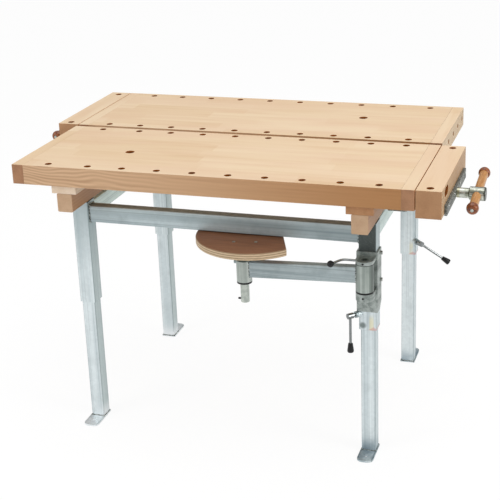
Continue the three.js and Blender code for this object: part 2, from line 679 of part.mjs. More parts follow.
function makeBracket() {
  const web = block(
    LEG_X - BRACKET_OUTSIDE,
    LEG_X + BRACKET_OUTSIDE,
    BRACKET_FACE,
    BRACKET_BACK,
    BRACKET_BOTTOM,
    BRACKET_TOP,
  );
  const cheek = new THREE.Shape();
  cheek.moveTo(BRACKET_FACE, BRACKET_BOTTOM);
  cheek.lineTo(BRACKET_FACE + BRACKET_DEPTH - BRACKET_TAPER, BRACKET_BOTTOM);
  cheek.lineTo(BRACKET_FACE + BRACKET_DEPTH, BRACKET_BOTTOM + BRACKET_TAPER);
  cheek.lineTo(BRACKET_FACE + BRACKET_DEPTH, BRACKET_TOP);
  cheek.lineTo(BRACKET_FACE, BRACKET_TOP);
  const bodies = [web];
  for (const x of [LEG_X - BRACKET_OUTSIDE, LEG_X + BRACKET_INSIDE]) {
    const plate = new THREE.ExtrudeGeometry(cheek, { depth: BRACKET_PLATE, bevelEnabled: false });
    bodies.push(solid(plate.rotateY(Math.PI / 2).rotateX(Math.PI / 2).translate(x, 0, 0)));
  }
  const collars = [
    [LOWER_COLLAR_TOP - LOWER_COLLAR_HEIGHT, LOWER_COLLAR_TOP],
    [UPPER_COLLAR_BOTTOM, UPPER_COLLAR_TOP],
  ];
  for (const [z0, z1] of collars) {
    bodies.push(rod(at(LEG_X, PIVOT_Y, z0), at(LEG_X, PIVOT_Y, z1), COLLAR_DIAMETER, 32));
    const neck = COLLAR_DIAMETER / 2;
    bodies.push(block(LEG_X - neck, LEG_X + neck, PIVOT_Y, BRACKET_BACK - FIT, z0, z1));
  }
  const pinHole = rod(
    at(LEG_X, PIVOT_Y, BRACKET_BOTTOM),
    at(LEG_X, PIVOT_Y, BRACKET_TOP),
    PIN_DIAMETER + 2 * FIT,
  );
  const lockHole = rod(
    at(LEG_X - COLLAR_DIAMETER / 2 - FIT, PIVOT_Y, LOCK_Z),
    at(LEG_X, PIVOT_Y, LOCK_Z),
    LOCK_ROD_DIAMETER + 2 * FIT,
    16,
  );
  place(bench, "seat_bracket", cut(join(...bodies), pinHole, lockHole, ...boltHoles), GALVANISED);

  const pinFrom = LOWER_COLLAR_TOP - LOWER_COLLAR_HEIGHT;
  const pin = rod(at(LEG_X, PIVOT_Y, pinFrom), at(LEG_X, PIVOT_Y, UPPER_COLLAR_TOP), PIN_DIAMETER);
  const pinBore = rod(
    at(LEG_X, PIVOT_Y, pinFrom - FIT),
    at(LEG_X, PIVOT_Y, UPPER_COLLAR_TOP + FIT),
    PIN_BORE,
  );
  place(bench, "pivot_pin", cut(pin, pinBore), BRIGHT_STEEL);

  const boltNames = ["lower", "upper"];
  BRACKET_BOLT_RISES.forEach((rise, i) => {
    const z = BRACKET_BOTTOM + rise;
    const headFrom = LEG_X + BRACKET_OUTSIDE + FIT;
    const bolt = join(
      rod(
        at(LEG_X + SLEEVE_SIZE / 2 - SLEEVE_WALL, BOLT_Y, z),
        at(headFrom + OVERLAP, BOLT_Y, z),
        BRACKET_BOLT_DIAMETER,
        16,
      ),
      rod(
        at(headFrom, BOLT_Y, z),
        at(headFrom + BRACKET_BOLT_HEAD_HEIGHT, BOLT_Y, z),
        BRACKET_BOLT_HEAD,
        6,
      ),
    );
    place(bench, boltNames[i] + "_bracket_bolt", bolt, DARK_STEEL);
  });

  // Cranked locking screw in the upper collar, with a ball on its end
  const tip = at(LEG_X - PIN_DIAMETER / 2 - FIT, PIVOT_Y, LOCK_Z);
  const bend = at(LEG_X - COLLAR_DIAMETER / 2 - LOCK_ROD_REACH, PIVOT_Y, LOCK_Z);
  const ball = bend.clone().add(at(-LOCK_CRANK_OUT, -LOCK_CRANK_FORWARD, 0));
  const beforeBend = bend.clone().add(at(LOCK_CRANK_OUT / 2, 0, 0));
  const afterBend = bend.clone().lerp(ball, LOCK_BEND_SHARE);
  const path = new THREE.CurvePath();
  path.add(new THREE.LineCurve3(tip, beforeBend));
  path.add(new THREE.QuadraticBezierCurve3(beforeBend, bend, afterBend));
  path.add(new THREE.LineCurve3(afterBend, ball));
  const section = new THREE.Shape();
  section.absarc(0, 0, LOCK_ROD_DIAMETER / 2, 0, 2 * Math.PI);
  const crankRod = new THREE.ExtrudeGeometry(section, {
    extrudePath: path,
    steps: 16,
    curveSegments: 5,
    bevelEnabled: false,
  });
  place(bench, "lock_lever", solid(crankRod), DARK_STEEL);
  const crank = ball.clone().sub(afterBend).normalize();
  const ballCentre = ball.clone().addScaledVector(crank, LOCK_BALL_DIAMETER / 2 - LOCK_BALL_SOCKET);
  const sphere = new THREE.SphereGeometry(LOCK_BALL_DIAMETER / 2, 16, 10);
  const socket = rod(
    ball.clone().addScaledVector(crank, -LOCK_BALL_DIAMETER),
    ball.clone().addScaledVector(crank, FIT),
    LOCK_ROD_DIAMETER + 2 * FIT,
    16,
  );
  const ballBody = solid(sphere.translate(ballCentre.x, ballCentre.y, ballCentre.z));
  place(bench, "lock_ball", cut(ballBody, socket), BLACK_PLASTIC);
}
makeBracket();

// Arm, post and seat, laid out from the pivot axis along -X
function makeSwingArm() {
  const arm = new THREE.Group();
  arm.position.set(LEG_X, PIVOT_Y, 0);
  const armBottom = BRACKET_BOTTOM + ARM_RISE;
  const armEndBottom = armBottom - ARM_FALL;
  const sleeveBottom = armEndBottom - POST_SLEEVE_BELOW;
  const sleeveTop = armEndBottom + ARM_HEIGHT + POST_SLEEVE_ABOVE;
  const upright = (x, z0, z1, diameter, sides) => rod(at(x, 0, z0), at(x, 0, z1), diameter, sides);

  const armTube = tube(ARM_HEIGHT, ARM_WIDTH, ARM_CORNER, ARM_WALL, Math.hypot(ARM_LENGTH, ARM_FALL));
  armTube.rotateY(-Math.PI / 2 - Math.atan2(ARM_FALL, ARM_LENGTH));
  armTube.translate(0, 0, armBottom + ARM_HEIGHT / 2);
  const bossZ = sleeveTop - POST_BOSS_DROP;
  const bossEnd = -ARM_LENGTH - POST_SLEEVE_DIAMETER / 2 - POST_BOSS_LENGTH;
  const body = join(
    solid(armTube),
    upright(0, BARREL_BOTTOM, BARREL_TOP, COLLAR_DIAMETER, 32),
    upright(-ARM_LENGTH, sleeveBottom, sleeveTop, POST_SLEEVE_DIAMETER, 32),
    rod(at(-ARM_LENGTH, 0, bossZ), at(bossEnd, 0, bossZ), POST_BOSS_DIAMETER, 16),
  );
  const swingArm = cut(
    body,
    upright(0, BARREL_BOTTOM - FIT, BARREL_TOP + FIT, PIN_DIAMETER + 2 * FIT, 24),
    upright(0, BARREL_BOTTOM - FIT, BARREL_BOTTOM + BUSH_LENGTH + FIT, BARREL_BORE, 24),
    upright(-ARM_LENGTH, sleeveBottom - FIT, sleeveTop + FIT, POST_SLEEVE_BORE, 24),
    upright(-ARM_VENT_REACH, armEndBottom, armBottom + ARM_HEIGHT / 2, ARM_VENT_DIAMETER, 12),
  );
  place(arm, "swing_arm", swingArm, GALVANISED);

  // Flanged bushes under the barrel and under the post sleeve
  const bush = (x, top, outside, flange, bore) =>
    cut(
      join(
        upright(x, top - FIT - BUSH_FLANGE, top - FIT, flange, 32),
        upright(x, top - FIT - OVERLAP, top + BUSH_LENGTH, outside - 2 * FIT, 24),
      ),
      upright(x, top - BUSH_FLANGE - OVERLAP, top + BUSH_LENGTH + OVERLAP, bore + 2 * FIT, 24),
    );
  place(arm, "pivot_bush", bush(0, BARREL_BOTTOM, BARREL_BORE, COLLAR_DIAMETER, PIN_DIAMETER), BLACK_PLASTIC);
  place(
    arm,
    "post_bush",
    bush(-ARM_LENGTH, sleeveBottom, POST_SLEEVE_BORE, POST_SLEEVE_DIAMETER, POST_DIAMETER),
    BLACK_PLASTIC,
  );

  const seatTop = RAIL_TOP - RAIL_HEIGHT - SEAT_DROP;
  const seatBottom = seatTop - SEAT_THICKNESS;
  const plateTop = seatBottom - FIT;
  const plateBottom = plateTop - SEAT_PLATE_THICKNESS;
  const hubBottom = plateBottom - SEAT_HUB_LENGTH;
  const postBottom = sleeveBottom - BUSH_FLANGE - POST_FOOT;
  const postTop = hubBottom + SEAT_HUB_SOCKET;
  const pegZ = postBottom + PEG_RISE;
  const pegEnd = -ARM_LENGTH - POST_DIAMETER / 2 - PEG_LENGTH;
  const post = join(
    upright(-ARM_LENGTH, postBottom, postTop, POST_DIAMETER, 24),
    rod(at(-ARM_LENGTH, 0, pegZ), at(pegEnd, 0, pegZ), PEG_DIAMETER, 12),
  );
  place(arm, "seat_post", post, BRIGHT_STEEL);

  const seatPlate = cut(
    join(
      upright(-ARM_LENGTH, hubBottom, plateTop, SEAT_HUB_DIAMETER, 24),
      upright(-ARM_LENGTH, plateBottom, plateTop, SEAT_PLATE_DIAMETER, 32),
    ),
    upright(-ARM_LENGTH, hubBottom - FIT, postTop + FIT, POST_DIAMETER + 2 * FIT, 24),
  );
  place(arm, "seat_plate", seatPlate, GALVANISED);

  // Round plywood seat with a flat side towards the pivot and a straight back
  const seatRadius = SEAT_DIAMETER / 2;
  const seatTurn = THREE.MathUtils.degToRad(SEAT_TURN);
  const flatHalf = Math.acos(SEAT_FLAT / seatRadius);
  const backReach = seatRadius - SEAT_BACK_CUT;
  const backWay = Math.PI / 2 - seatTurn;
  const backEnd = backWay + Math.acos(backReach / seatRadius);
  const seat = new THREE.Shape();
  seat.absarc(0, 0, seatRadius, backEnd, 2 * Math.PI - flatHalf);
  seat.lineTo(SEAT_FLAT, (backReach - SEAT_FLAT * Math.cos(backWay)) / Math.sin(backWay));
  seat.closePath();
  const ply = new THREE.ExtrudeGeometry(seat, {
    depth: SEAT_THICKNESS - 2 * SEAT_EDGE,
    bevelThickness: SEAT_EDGE,
    bevelSize: SEAT_EDGE,
    bevelOffset: -SEAT_EDGE,
    bevelSegments: 2,
    curveSegments: 32,
  });
  ply.rotateZ(seatTurn);
  ply.translate(SEAT_ASIDE - ARM_LENGTH, SEAT_OFFSET, seatBottom + SEAT_EDGE);
  place(arm, "seat_disc", solid(ply), SEAT_PLY);
  return arm;
}
bench.add(makeSwingArm());

// The origin goes to the floor under the middle of the outer box
const outerBox = new THREE.Box3().setFromObject(bench);
const middleOfBox = outerBox.getCenter(new THREE.Vector3());
bench.position.set(-middleOfBox.x, -middleOfBox.y, -outerBox.min.z);
const part = new THREE.Group();
part.add(bench);

export default part;
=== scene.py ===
# Looks of a two-place woodworking bench with an end vise on each top and a swing seat.
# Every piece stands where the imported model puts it, in metres, +X along the tops and +Z up.

import json
import math

import bmesh
import bpy
from mathutils import Matrix, Vector
from mathutils.geometry import interpolate_bezier


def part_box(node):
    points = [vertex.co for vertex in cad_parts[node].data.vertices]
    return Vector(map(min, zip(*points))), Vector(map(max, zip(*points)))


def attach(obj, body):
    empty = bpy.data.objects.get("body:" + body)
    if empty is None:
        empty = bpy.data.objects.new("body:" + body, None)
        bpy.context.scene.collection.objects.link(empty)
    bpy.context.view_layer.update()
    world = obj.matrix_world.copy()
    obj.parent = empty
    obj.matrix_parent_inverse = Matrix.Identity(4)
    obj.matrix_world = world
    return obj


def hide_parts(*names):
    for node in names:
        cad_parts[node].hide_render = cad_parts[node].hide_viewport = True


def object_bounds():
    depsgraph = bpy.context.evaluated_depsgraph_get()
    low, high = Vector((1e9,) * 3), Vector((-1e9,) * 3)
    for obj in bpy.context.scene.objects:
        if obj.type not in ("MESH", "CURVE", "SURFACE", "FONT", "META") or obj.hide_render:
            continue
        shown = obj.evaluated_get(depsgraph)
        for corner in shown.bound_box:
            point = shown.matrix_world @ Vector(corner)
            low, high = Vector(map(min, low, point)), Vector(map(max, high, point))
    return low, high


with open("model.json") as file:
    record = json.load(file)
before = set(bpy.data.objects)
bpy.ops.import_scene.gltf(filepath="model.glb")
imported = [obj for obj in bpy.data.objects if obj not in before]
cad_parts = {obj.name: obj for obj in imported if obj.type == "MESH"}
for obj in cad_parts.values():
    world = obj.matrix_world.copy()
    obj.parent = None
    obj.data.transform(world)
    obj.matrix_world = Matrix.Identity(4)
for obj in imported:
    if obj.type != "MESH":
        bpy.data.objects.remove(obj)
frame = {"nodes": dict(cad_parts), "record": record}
cad_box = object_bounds()
nodes = frame["nodes"]
bodies = frame["record"]["behaviour"]["bodies"]
body_of = {node: body for body, members in bodies.items() for node in members}

# Camera: the photograph is 500 pixels square
PHOTO_SIDE = 500
FOCAL_PIXELS = 1197.3
AXIS_PIXEL = (262, 200)
SENSOR_MM = 36
VIEWPOINT = Vector((1.3159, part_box("front_top_board")[0].y - 3.4332, 2.1700))
CAMERA_YAW = -0.3146
CAMERA_PITCH = -0.3277
CAMERA_ROLL = -0.0349

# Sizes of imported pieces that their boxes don't give
ARM_HEIGHT = 0.056
ARM_WIDTH = 0.030
ARM_LEVELS = (0.637, 0.653)  # underside of the arm at the post and at the pivot
FOOT_THICKNESS = 0.006
LEG_SIZE = 0.050
SLEEVE_SIZE = 0.060
CAP_RECESS_DEPTH = 0.012
BARREL_REACH = 0.0312  # just outside the barrel, from its axis
POST_SLEEVE_REACH = 0.0272
POST_REACH = 0.0155

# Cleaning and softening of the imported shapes
MERGE_DISTANCE = 1e-5
FLAT_ANGLE = math.radians(0.5)
SHARP_ANGLE = math.radians(35)
BEVEL_ANGLE = math.radians(40)
BEVEL_SEGMENTS = 2
SUNK_DEPTH = 0.001  # a face that lies deeper than this in the box of its piece is the wall of a hole
FACE_DEPTH = 0.0005  # a face that lies nearer than this to a side of the box is on that side

# Screws and bolts: sizes of head and socket, and places
PLATE_SCREW = {"Diameter": 0.009, "Height": 0.003, "Socket": 0.0045}
PLATE_SCREW_OFFSETS = (-0.174, -0.058, 0.058, 0.174)  # along a vise plate from its middle
PLATE_SCREW_DROP = 0.009
CAP_BOLT = {"Diameter": 0.013, "Height": 0.007, "Socket": 0.006}
CAP_BOLT_PITCH = 0.106
CAP_BOLT_COUNT = 5
SEAT_SCREW = {"Diameter": 0.011, "Height": 0.002, "Socket": 0.005}
SEAT_SCREW_SPOTS = ((-0.026, -0.020), (0.047, -0.007))  # from the seat post
SET_SCREW = {"Diameter": 0.007, "Height": 0.0012, "Socket": 0.004}
SET_SCREW_SINK = 0.0002  # into the front of a collar
LOWER_SET_SCREW_RISE = 0.013  # from the foot of the pivot pin
UPPER_SET_SCREW_DROP = 0.006  # from the top of the pivot pin
KNOB_SCREW = {"Diameter": 0.011, "Height": 0.0025, "Socket": 0.005}
HEAD_SIDES = 24
SOCKET_SIDES = 6
SKIRT_HEIGHT = 0.6  # these four are shares of the height or the radius of a head
CROWN_HEIGHT = 0.5
CROWN_FOOT = 0.97
CROWN_TOP = 0.72

# Half outline of a knob, from the bar outwards: distances from its middle, and radii
KNOB_CURVE = ((-0.0140, 0.0158), (-0.0116, 0.0215), (0.0126, 0.0231), (0.0140, 0.0090))  # ends and handles
KNOB_CURVE_POINTS = 10
KNOB_INNER_RADIUS = 0.0140  # of the flat ring at the bar
KNOB_OUTER_RADIUS = 0.0050  # of the flat ring under the screw
TURNED_SIDES = 48
TURNED_SHARP_ANGLE = math.radians(38)

# Weld beads
RAIL_WELD = {"Pitch": 0.0046, "Radius": 0.0042}
FOOT_WELD = {"Pitch": 0.0034, "Radius": 0.0026}
ARM_WELD = {"Pitch": 0.0034, "Radius": 0.0021}
BEAD_SCALES = (0.75, 1.2)  # least and most
BEAD_SEED = 0
WELD_INSET = 0.003  # from the corners of a rail
ARM_WELD_INSET = 0.002  # from the upper and lower edge of the arm
WELD_AT_POST = 0.0215  # from the axis to the weld on the arm
WELD_AT_BARREL = 0.0265

# Floor
WHITE = (1, 1, 1, 1)
FLOOR_GREY = (0.8, 0.8, 0.8, 1)
FLOOR_REACH = 60
FLOOR_DROP = 0.0004  # below the feet
FLOOR_GLOW = 1.05
FLOOR_GLOW_SHARE = 0.86

# Grey of the room by the height of a direction, from 0 for level to 1 for straight up
ROOM_GREYS = ((0.0, 0.70), (0.12, 0.62), (0.32, 0.22), (0.55, 0.40), (0.85, 0.95))

# Name, place, target, diameter and watts of each lamp
LAMPS = (
    ("overhead", (0.4, 0.3, 4.2), (0, 0, 0.9), 3.0, 30),
    ("right_side", (4.0, -1.2, 2.4), (0.3, 0, 0.7), 2.0, 60),
    ("left_front", (-3.0, -3.6, 2.6), (0, 0, 0.6), 2.5, 60),
)


def blend(first, second, share):
    """A colour part of the way from one to another."""
    return tuple(a + (b - a) * share for a, b in zip(first, second))


def tone(red, green, blue):
    """A colour given as 0 to 255 display values, as the shader's linear values."""
    linear = []
    for part in (red, green, blue):
        share = part / 255
        linear.append(share / 12.92 if share <= 0.04045 else ((share + 0.055) / 1.055) ** 2.4)
    return (*linear, 1.0)


# Timber and plywood
PALE_BEECH = tone(238, 213, 180)
WARM_BEECH = tone(221, 186, 143)
ROSY_BEECH = tone(229, 194, 163)
EDGE_LINE = tone(140, 94, 56)
TOP_STAVE = 0.071  # width of the strips that a top is glued from
ONE_PLANK = 0.3  # wider than any piece that is cut from one plank
STAVE_LENGTH = 0.46
GROWTH_RING = 0.0125
TOP_SWELL = (-0.6, 0.1)  # where the growth lines of the tops are wide open, and where they have closed up
PLY_PALE = tone(214, 190, 156)
PLY_DARK = tone(128, 98, 70)
PLY_LINES = ((0.30, 0.07), (0.62, 0.07), (0.93, 0.10))  # height and half width, as shares of the seat

# Zinc
# Painted shade on the right faces of the legs and sleeves, and painted dark reflection on their corners
PAINTED_SIDE_SHADE = tone(146, 166, 164)
PAINTED_CORNER_SHADE = tone(104, 124, 126)
MIDDLE_BAND = 0.1  # on either side of the middle of the bench, where no leg stands


def middle(node):
    """The middle of a node's box."""
    low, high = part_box(node)
    return (low + high) / 2


class Wire:
    """An output socket that takes part in Python sums."""

    def __init__(self, board, socket):
        self.board = board
        self.socket = socket

    def sum(self, operation, first, second=0.0):
        return self.board.node("ShaderNodeMath", {"operation": operation}, {0: first, 1: second})

    def __add__(self, other):
        return self.sum("ADD", self, other)

    def __sub__(self, other):
        return self.sum("SUBTRACT", self, other)

    def __rsub__(self, other):
        return self.sum("SUBTRACT", other, self)

    def __mul__(self, other):
        return self.sum("MULTIPLY", self, other)

    def __truediv__(self, other):
        return self.sum("DIVIDE", self, other)

    def __pow__(self, other):
        return self.sum("POWER", self, other)

    def __abs__(self):
        return self.sum("ABSOLUTE", self)

    __radd__ = __add__
    __rmul__ = __mul__

    def floor(self):
        return self.sum("FLOOR", self)

    def sine(self):
        return self.sum("SINE", self)


class Board:
    """A node tree under construction."""

    def __init__(self, tree):
        self.tree = tree

    def node(self, kind, settings=None, inputs=None, output=0):
        made = self.tree.nodes.new(kind)
        for key, value in (settings or {}).items():
            if key == "stops":
                self.set_stops(made.color_ramp, value)
            else:
                setattr(made, key, value)
        for key, value in (inputs or {}).items():
            self.feed(made.inputs[key], value)
        return Wire(self, made.outputs[output])

    @staticmethod
    def set_stops(ramp, stops):
        while len(ramp.elements) < len(stops):
            ramp.elements.new(1.0)
        for element, (place, color) in zip(ramp.elements, stops):
            element.position = place
            element.color = color

    def feed(self, socket, value):
        if isinstance(value, Wire):
            self.tree.links.new(value.socket, socket)
        else:
            socket.default_value = value


class Finish(Board):
    """A material built round one Principled shader."""

    def __init__(self, name, **plain):
        self.material = bpy.data.materials.new(name)
        self.material.use_nodes = True
        super().__init__(self.material.node_tree)
        self.shader = self.tree.nodes["Principled BSDF"]
        for key, value in plain.items():
            self.set(key.replace("_", " ").title().replace("Ior", "IOR"), value)

    def set(self, socket, value):
        self.feed(self.shader.inputs[socket], value)

    def place(self):
        """The shaded point, in the frame of the model."""
        return self.node("ShaderNodeTexCoord", output="Object")

    def facing(self):
        """The x, y and z of the direction that the surface faces."""
        return self.split(self.node("ShaderNodeTexCoord", output="Normal"))

    def split(self, vector):
        apart = self.node("ShaderNodeSeparateXYZ", inputs={0: vector})
        outputs = apart.socket.node.outputs
        return [Wire(self, outputs[axis]) for axis in range(3)]

    def stretched(self, scale):
        return self.node("ShaderNodeMapping", inputs={"Vector": self.place(), "Scale": scale})

    def noise(self, scale, detail=3.0, rough=0.55):
        """Cloudy noise with a scale for each axis."""
        inputs = {"Vector": self.stretched(scale), "Scale": 1.0, "Detail": detail, "Roughness": rough}
        return self.node("ShaderNodeTexNoise", inputs=inputs)

    def chance(self, number):
        """A draw from 0 to 1 that depends on the number alone."""
        return self.node("ShaderNodeTexWhiteNoise", {"noise_dimensions": "1D"}, {"W": number})

    def mix(self, factor, first, second):
        inputs = {0: factor, 6: first, 7: second}
        return self.node("ShaderNodeMix", {"data_type": "RGBA"}, inputs, output=2)

    def step(self, value, low, high):
        """A smooth rise from 0 at low to 1 at high."""
        inputs = {"Value": value, "From Min": low, "From Max": high}
        return self.node("ShaderNodeMapRange", {"interpolation_type": "SMOOTHSTEP"}, inputs)

    def bump(self, height, strength, distance):
        inputs = {"Height": height, "Strength": strength, "Distance": distance}
        self.set("Normal", self.node("ShaderNodeBump", inputs=inputs))


AXES = {"x": 0, "y": 1, "z": 2}


def along_axis(grain, lengthwise, crosswise):
    """A scale that is small along the grain and large across it."""
    scale = [crosswise] * 3
    scale[AXES[grain]] = lengthwise
    return tuple(scale)


def wood(name, face, edge, end, stave, grain="x", across="y", swell=None):
    """Planed timber: soft streaks on the face, waved growth lines on the edge, plain end grain.

    Each colour is a pair, pale and deep. Every stave is cut into billets, and each billet has its own tone.
    The growth lines are wide open at the first place of swell and closed up at the second.
    """
    look = Finish(name, specular_ior_level=0.35)
    place = look.split(look.place())
    run = place[AXES[grain]]
    width = place[AXES[across]]
    depth = place[({0, 1, 2} - {AXES[grain], AXES[across]}).pop()]

    number = (width / stave).floor()
    # The odd factors keep the draws of neighbouring staves and billets apart
    billet = (run / STAVE_LENGTH + look.chance(number + 3.7) * 5.3).floor() * 17.0 + number
    lot = look.chance(billet + 0.4)
    broad = look.noise(along_axis(grain, 2.6, 26.0), 2.0)
    fine = look.noise(along_axis(grain, 2.6, 130.0), 4.0, 0.6)
    fleck = look.step(look.noise(along_axis(grain, 60.0, 700.0), 2.0), 0.58, 0.7)
    patch = look.noise(along_axis(grain, 1.5, 8.0), 2.0)
    body = look.mix(look.step(broad, 0.42, 0.74) * 0.38 + lot * 0.42, *face)
    body = look.mix(look.step(patch, 0.42, 0.64) * 0.42, body, ROSY_BEECH)
    body = look.mix(look.step(fine, 0.45, 0.8) * 0.16 + fleck * 0.06, body, face[1])

    sway = look.noise(along_axis(grain, 2.1, 5.0), 2.0) - 0.5
    opened = look.step(run, swell[1], swell[0]) if swell else 0.25
    level = depth + sway * (opened * 0.13 + 0.02) + run * 0.03
    lines = (level * (2 * math.pi / GROWTH_RING)).sine() * 0.5 + 0.5
    side = look.mix(look.step(run, -0.6, 0.7), *edge)
    side = look.mix(lines * (opened * 0.34 + 0.05) + look.step(fine, 0.4, 0.8) * 0.2, side, EDGE_LINE)
    facing = look.facing()
    body = look.mix(look.step(abs(facing[AXES[across]]), 0.6, 0.8), body, side)

    pores = look.noise(along_axis(grain, 30.0, 300.0), 3.0)
    shade = look.noise(along_axis(grain, 5.0, 24.0), 2.0)
    butt = look.mix(look.step(pores, 0.3, 0.75) * 0.35 + look.step(shade, 0.35, 0.7) * 0.4, *end)
    look.set("Base Color", look.mix(look.step(abs(facing[AXES[grain]]), 0.6, 0.8), body, butt))
    look.set("Roughness", 0.44 + fine * 0.12 + fleck * 0.1)
    look.bump(fine * 0.4 - fleck, 0.1, 0.0005)
    return look.material


def bored_wood(name, pale, deep):
    """The cut walls of holes and slots, and the faces of the vise mouths."""
    look = Finish(name, specular_ior_level=0.05)
    rings = look.noise((40.0, 40.0, 420.0), 3.0)
    look.set("Base Color", look.mix(look.step(rings, 0.3, 0.7), pale, deep))
    look.set("Roughness", 0.6 + rings * 0.2)
    return look.material


def turned_wood(name, pale, deep, gloss):
    """Varnished turned hardwood, with fine dark pores along the grain."""
    look = Finish(name, coat_weight=gloss, coat_roughness=0.12, specular_ior_level=0.3)
    streak = look.noise(along_axis("y", 9.0, 150.0), 4.0)
    pores = look.step(look.noise(along_axis("y", 90.0, 1300.0), 2.0), 0.55, 0.68)
    body = look.mix(look.step(streak, 0.3, 0.7), pale, deep)
    look.set("Base Color", look.mix(pores * 0.3, body, blend(deep, tone(60, 26, 12), 0.6)))
    look.set("Roughness", 0.36 + pores * 0.15)
    look.bump(pores * -1.0, 0.1, 0.0004)
    return look.material


def plywood():
    """Stained face veneer over pale plies that show at the edge."""
    look = Finish("stained_plywood", specular_ior_level=0.35)
    low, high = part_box("seat_disc")
    height = (look.split(look.place())[2] - low.z) / (high.z - low.z)
    waver = (look.noise((30.0, 30.0, 4.0), 2.0) - 0.5) * 0.05
    ply = PLY_PALE
    for level, half in PLY_LINES:
        line = look.step(abs(height + waver - level), half, half * 0.4)
        ply = look.mix(line * 0.8, ply, PLY_DARK)
    grain = look.noise((60.0, 60.0, 500.0), 3.0)
    ply = look.mix(look.step(grain, 0.35, 0.75) * 0.3, ply, PLY_DARK)
    streak = look.noise((7.0, 80.0, 80.0), 5.0)
    cloud = look.noise((9.0, 14.0, 14.0), 3.0)
    veneer = look.mix(look.step(streak, 0.3, 0.75) * 0.7, tone(148, 104, 76), tone(120, 84, 61))
    veneer = look.mix(look.step(cloud, 0.4, 0.7) * 0.4, veneer, tone(128, 86, 60))
    flat = look.step(abs(look.facing()[2]), 0.75, 0.95)
    look.set("Base Color", look.mix(flat, ply, veneer))
    look.set("Roughness", 0.46 + grain * 0.12)
    look.bump(grain * 0.5 + streak * 0.3, 0.12, 0.0004)
    return look.material


def galvanised(name, along, bright, dull, depth, shine=0.75, marks=()):
    """Zinc-coated steel: drawing lines, broad dull bands, faint spangle and stains, and its own marks."""
    look = Finish(name, metallic=shine)
    lines = look.noise(along_axis(along, 1.2, 320.0), 3.0)
    bands = look.noise(along_axis(along, 0.9, 48.0), 2.0)
    cells = look.node("ShaderNodeTexVoronoi", inputs={"Vector": look.place(), "Scale": 90.0}, output="Color")
    spangle = look.split(cells)[0]
    cloud = look.noise((12.0, 12.0, 12.0), 4.0)
    shadow = blend(dull, tone(72, 86, 90), 0.6)
    body = look.mix(look.step(bands, 0.36, 0.66), bright, dull)
    body = look.mix(look.step(lines, 0.46, 0.72) * depth, body, shadow)
    body = look.mix(look.step(cloud, 0.5, 0.75) * depth * 0.6, body, shadow)
    body = look.mix(spangle * 0.12, body, shadow)
    for mark in marks:
        body = mark(look, body, cloud)
    look.set("Base Color", body)
    look.set("Roughness", 0.36 + lines * 0.14 + cloud * 0.1)
    look.bump(lines * 0.5 + spangle * 0.2, 0.06, 0.0005)
    return look.material


def chromate_tints_and_painted_shade(look, body, cloud):
    """Chromate tints low on the right sleeves, painted shade of the clamp lever on the front one, and painted
    shade on the upper ends.

    The places are measured from the foot of a sleeve and from the axis of the right legs.
    """
    x, y, z = look.split(look.place())
    aside = x - middle("front_right_leg").x
    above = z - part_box("front_right_leg_sleeve")[0].z
    # painted shade: the sleeves darken towards their upper ends, under the tops and bearers
    body = look.mix(look.step(above, 0.05, 0.38) * 0.6, body, tone(138, 155, 158))
    right = look.step(x, -MIDDLE_BAND, MIDDLE_BAND)
    patchy = look.step(cloud, 0.3, 0.55) * right
    yellow = look.step(above, 0.062, 0.03) * look.step(abs(aside - 0.013), 0.010, 0.004) * patchy
    body = look.mix(yellow * 0.5, body, tone(232, 218, 158))
    pink = look.step(above + abs(aside - 0.02) * 0.7, 0.016, 0.008) * right
    body = look.mix(pink * 0.5, body, tone(214, 138, 134))
    # painted shade of the clamp lever, a grey patch low on the front right sleeve
    left = aside + 0.016
    up = above - 0.016
    front = look.step(y, MIDDLE_BAND, -MIDDLE_BAND) * right
    lever_shade = look.step((left * left + up * up) ** 0.5 + (cloud - 0.5) * 0.012, 0.017, 0.005)
    return look.mix(lever_shade * front * 0.8, body, tone(92, 104, 100))


def painted_front_shade(look, body, cloud):
    """Painted shade on the front of the sleeve, between the seat bracket and the bearer."""
    z = look.split(look.place())[2]
    bracket_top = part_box("seat_bracket")[1].z
    front = look.step(look.facing()[1], -0.5, -0.9)
    above = look.step(z, bracket_top - 0.02, bracket_top - 0.012)
    speck = look.step(look.noise((300.0, 300.0, 300.0), 2.0), 0.5, 0.7)
    # painted shade: a speckled dark grey on the upper front of the sleeve
    scale = look.mix(speck * 0.4, tone(62, 68, 66), tone(112, 120, 116))
    return look.mix(front * above * 0.95, body, scale)


def painted_foot_shade_and_highlight(look, body, cloud):
    """Painted bluish shade round the right foot plates, and a painted highlight round the left ones."""
    x, _, z = look.split(look.place())
    foot = look.step(z, 0.07, 0.005) * look.step(cloud, 0.25, 0.55)
    right = look.step(x, -MIDDLE_BAND, MIDDLE_BAND)
    # painted shade round the feet of the right legs
    body = look.mix(foot * right * 0.65, body, tone(122, 144, 158))
    # painted highlight round the feet of the left legs
    return look.mix(foot * (1.0 - right) * 0.7, body, tone(246, 249, 251))


def painted_corner_and_side_shade(half):
    """Painted dark reflection on the corners of a square tube on a leg axis, and painted shade on the right
    faces, most so on the left legs.
    """
    axis = abs(middle("front_right_leg").x)

    def mark(look, body, cloud):
        x = look.split(look.place())[0]
        turned = look.facing()[0]
        left = look.step(x, MIDDLE_BAND, -MIDDLE_BAND)
        # painted shade on the right faces, most on the left legs
        body = look.mix(look.step(turned, 0.4, 0.9) * (left * 0.35 + 0.1), body, PAINTED_SIDE_SHADE)
        # painted dark reflection along the corners of the tube
        corner = look.step(abs(abs(x) - axis), half - 0.0040, half - 0.0010)
        corner = corner * look.step(abs(turned), 0.97, 0.8)
        return look.mix(corner * 0.6, body, PAINTED_CORNER_SHADE)

    return mark


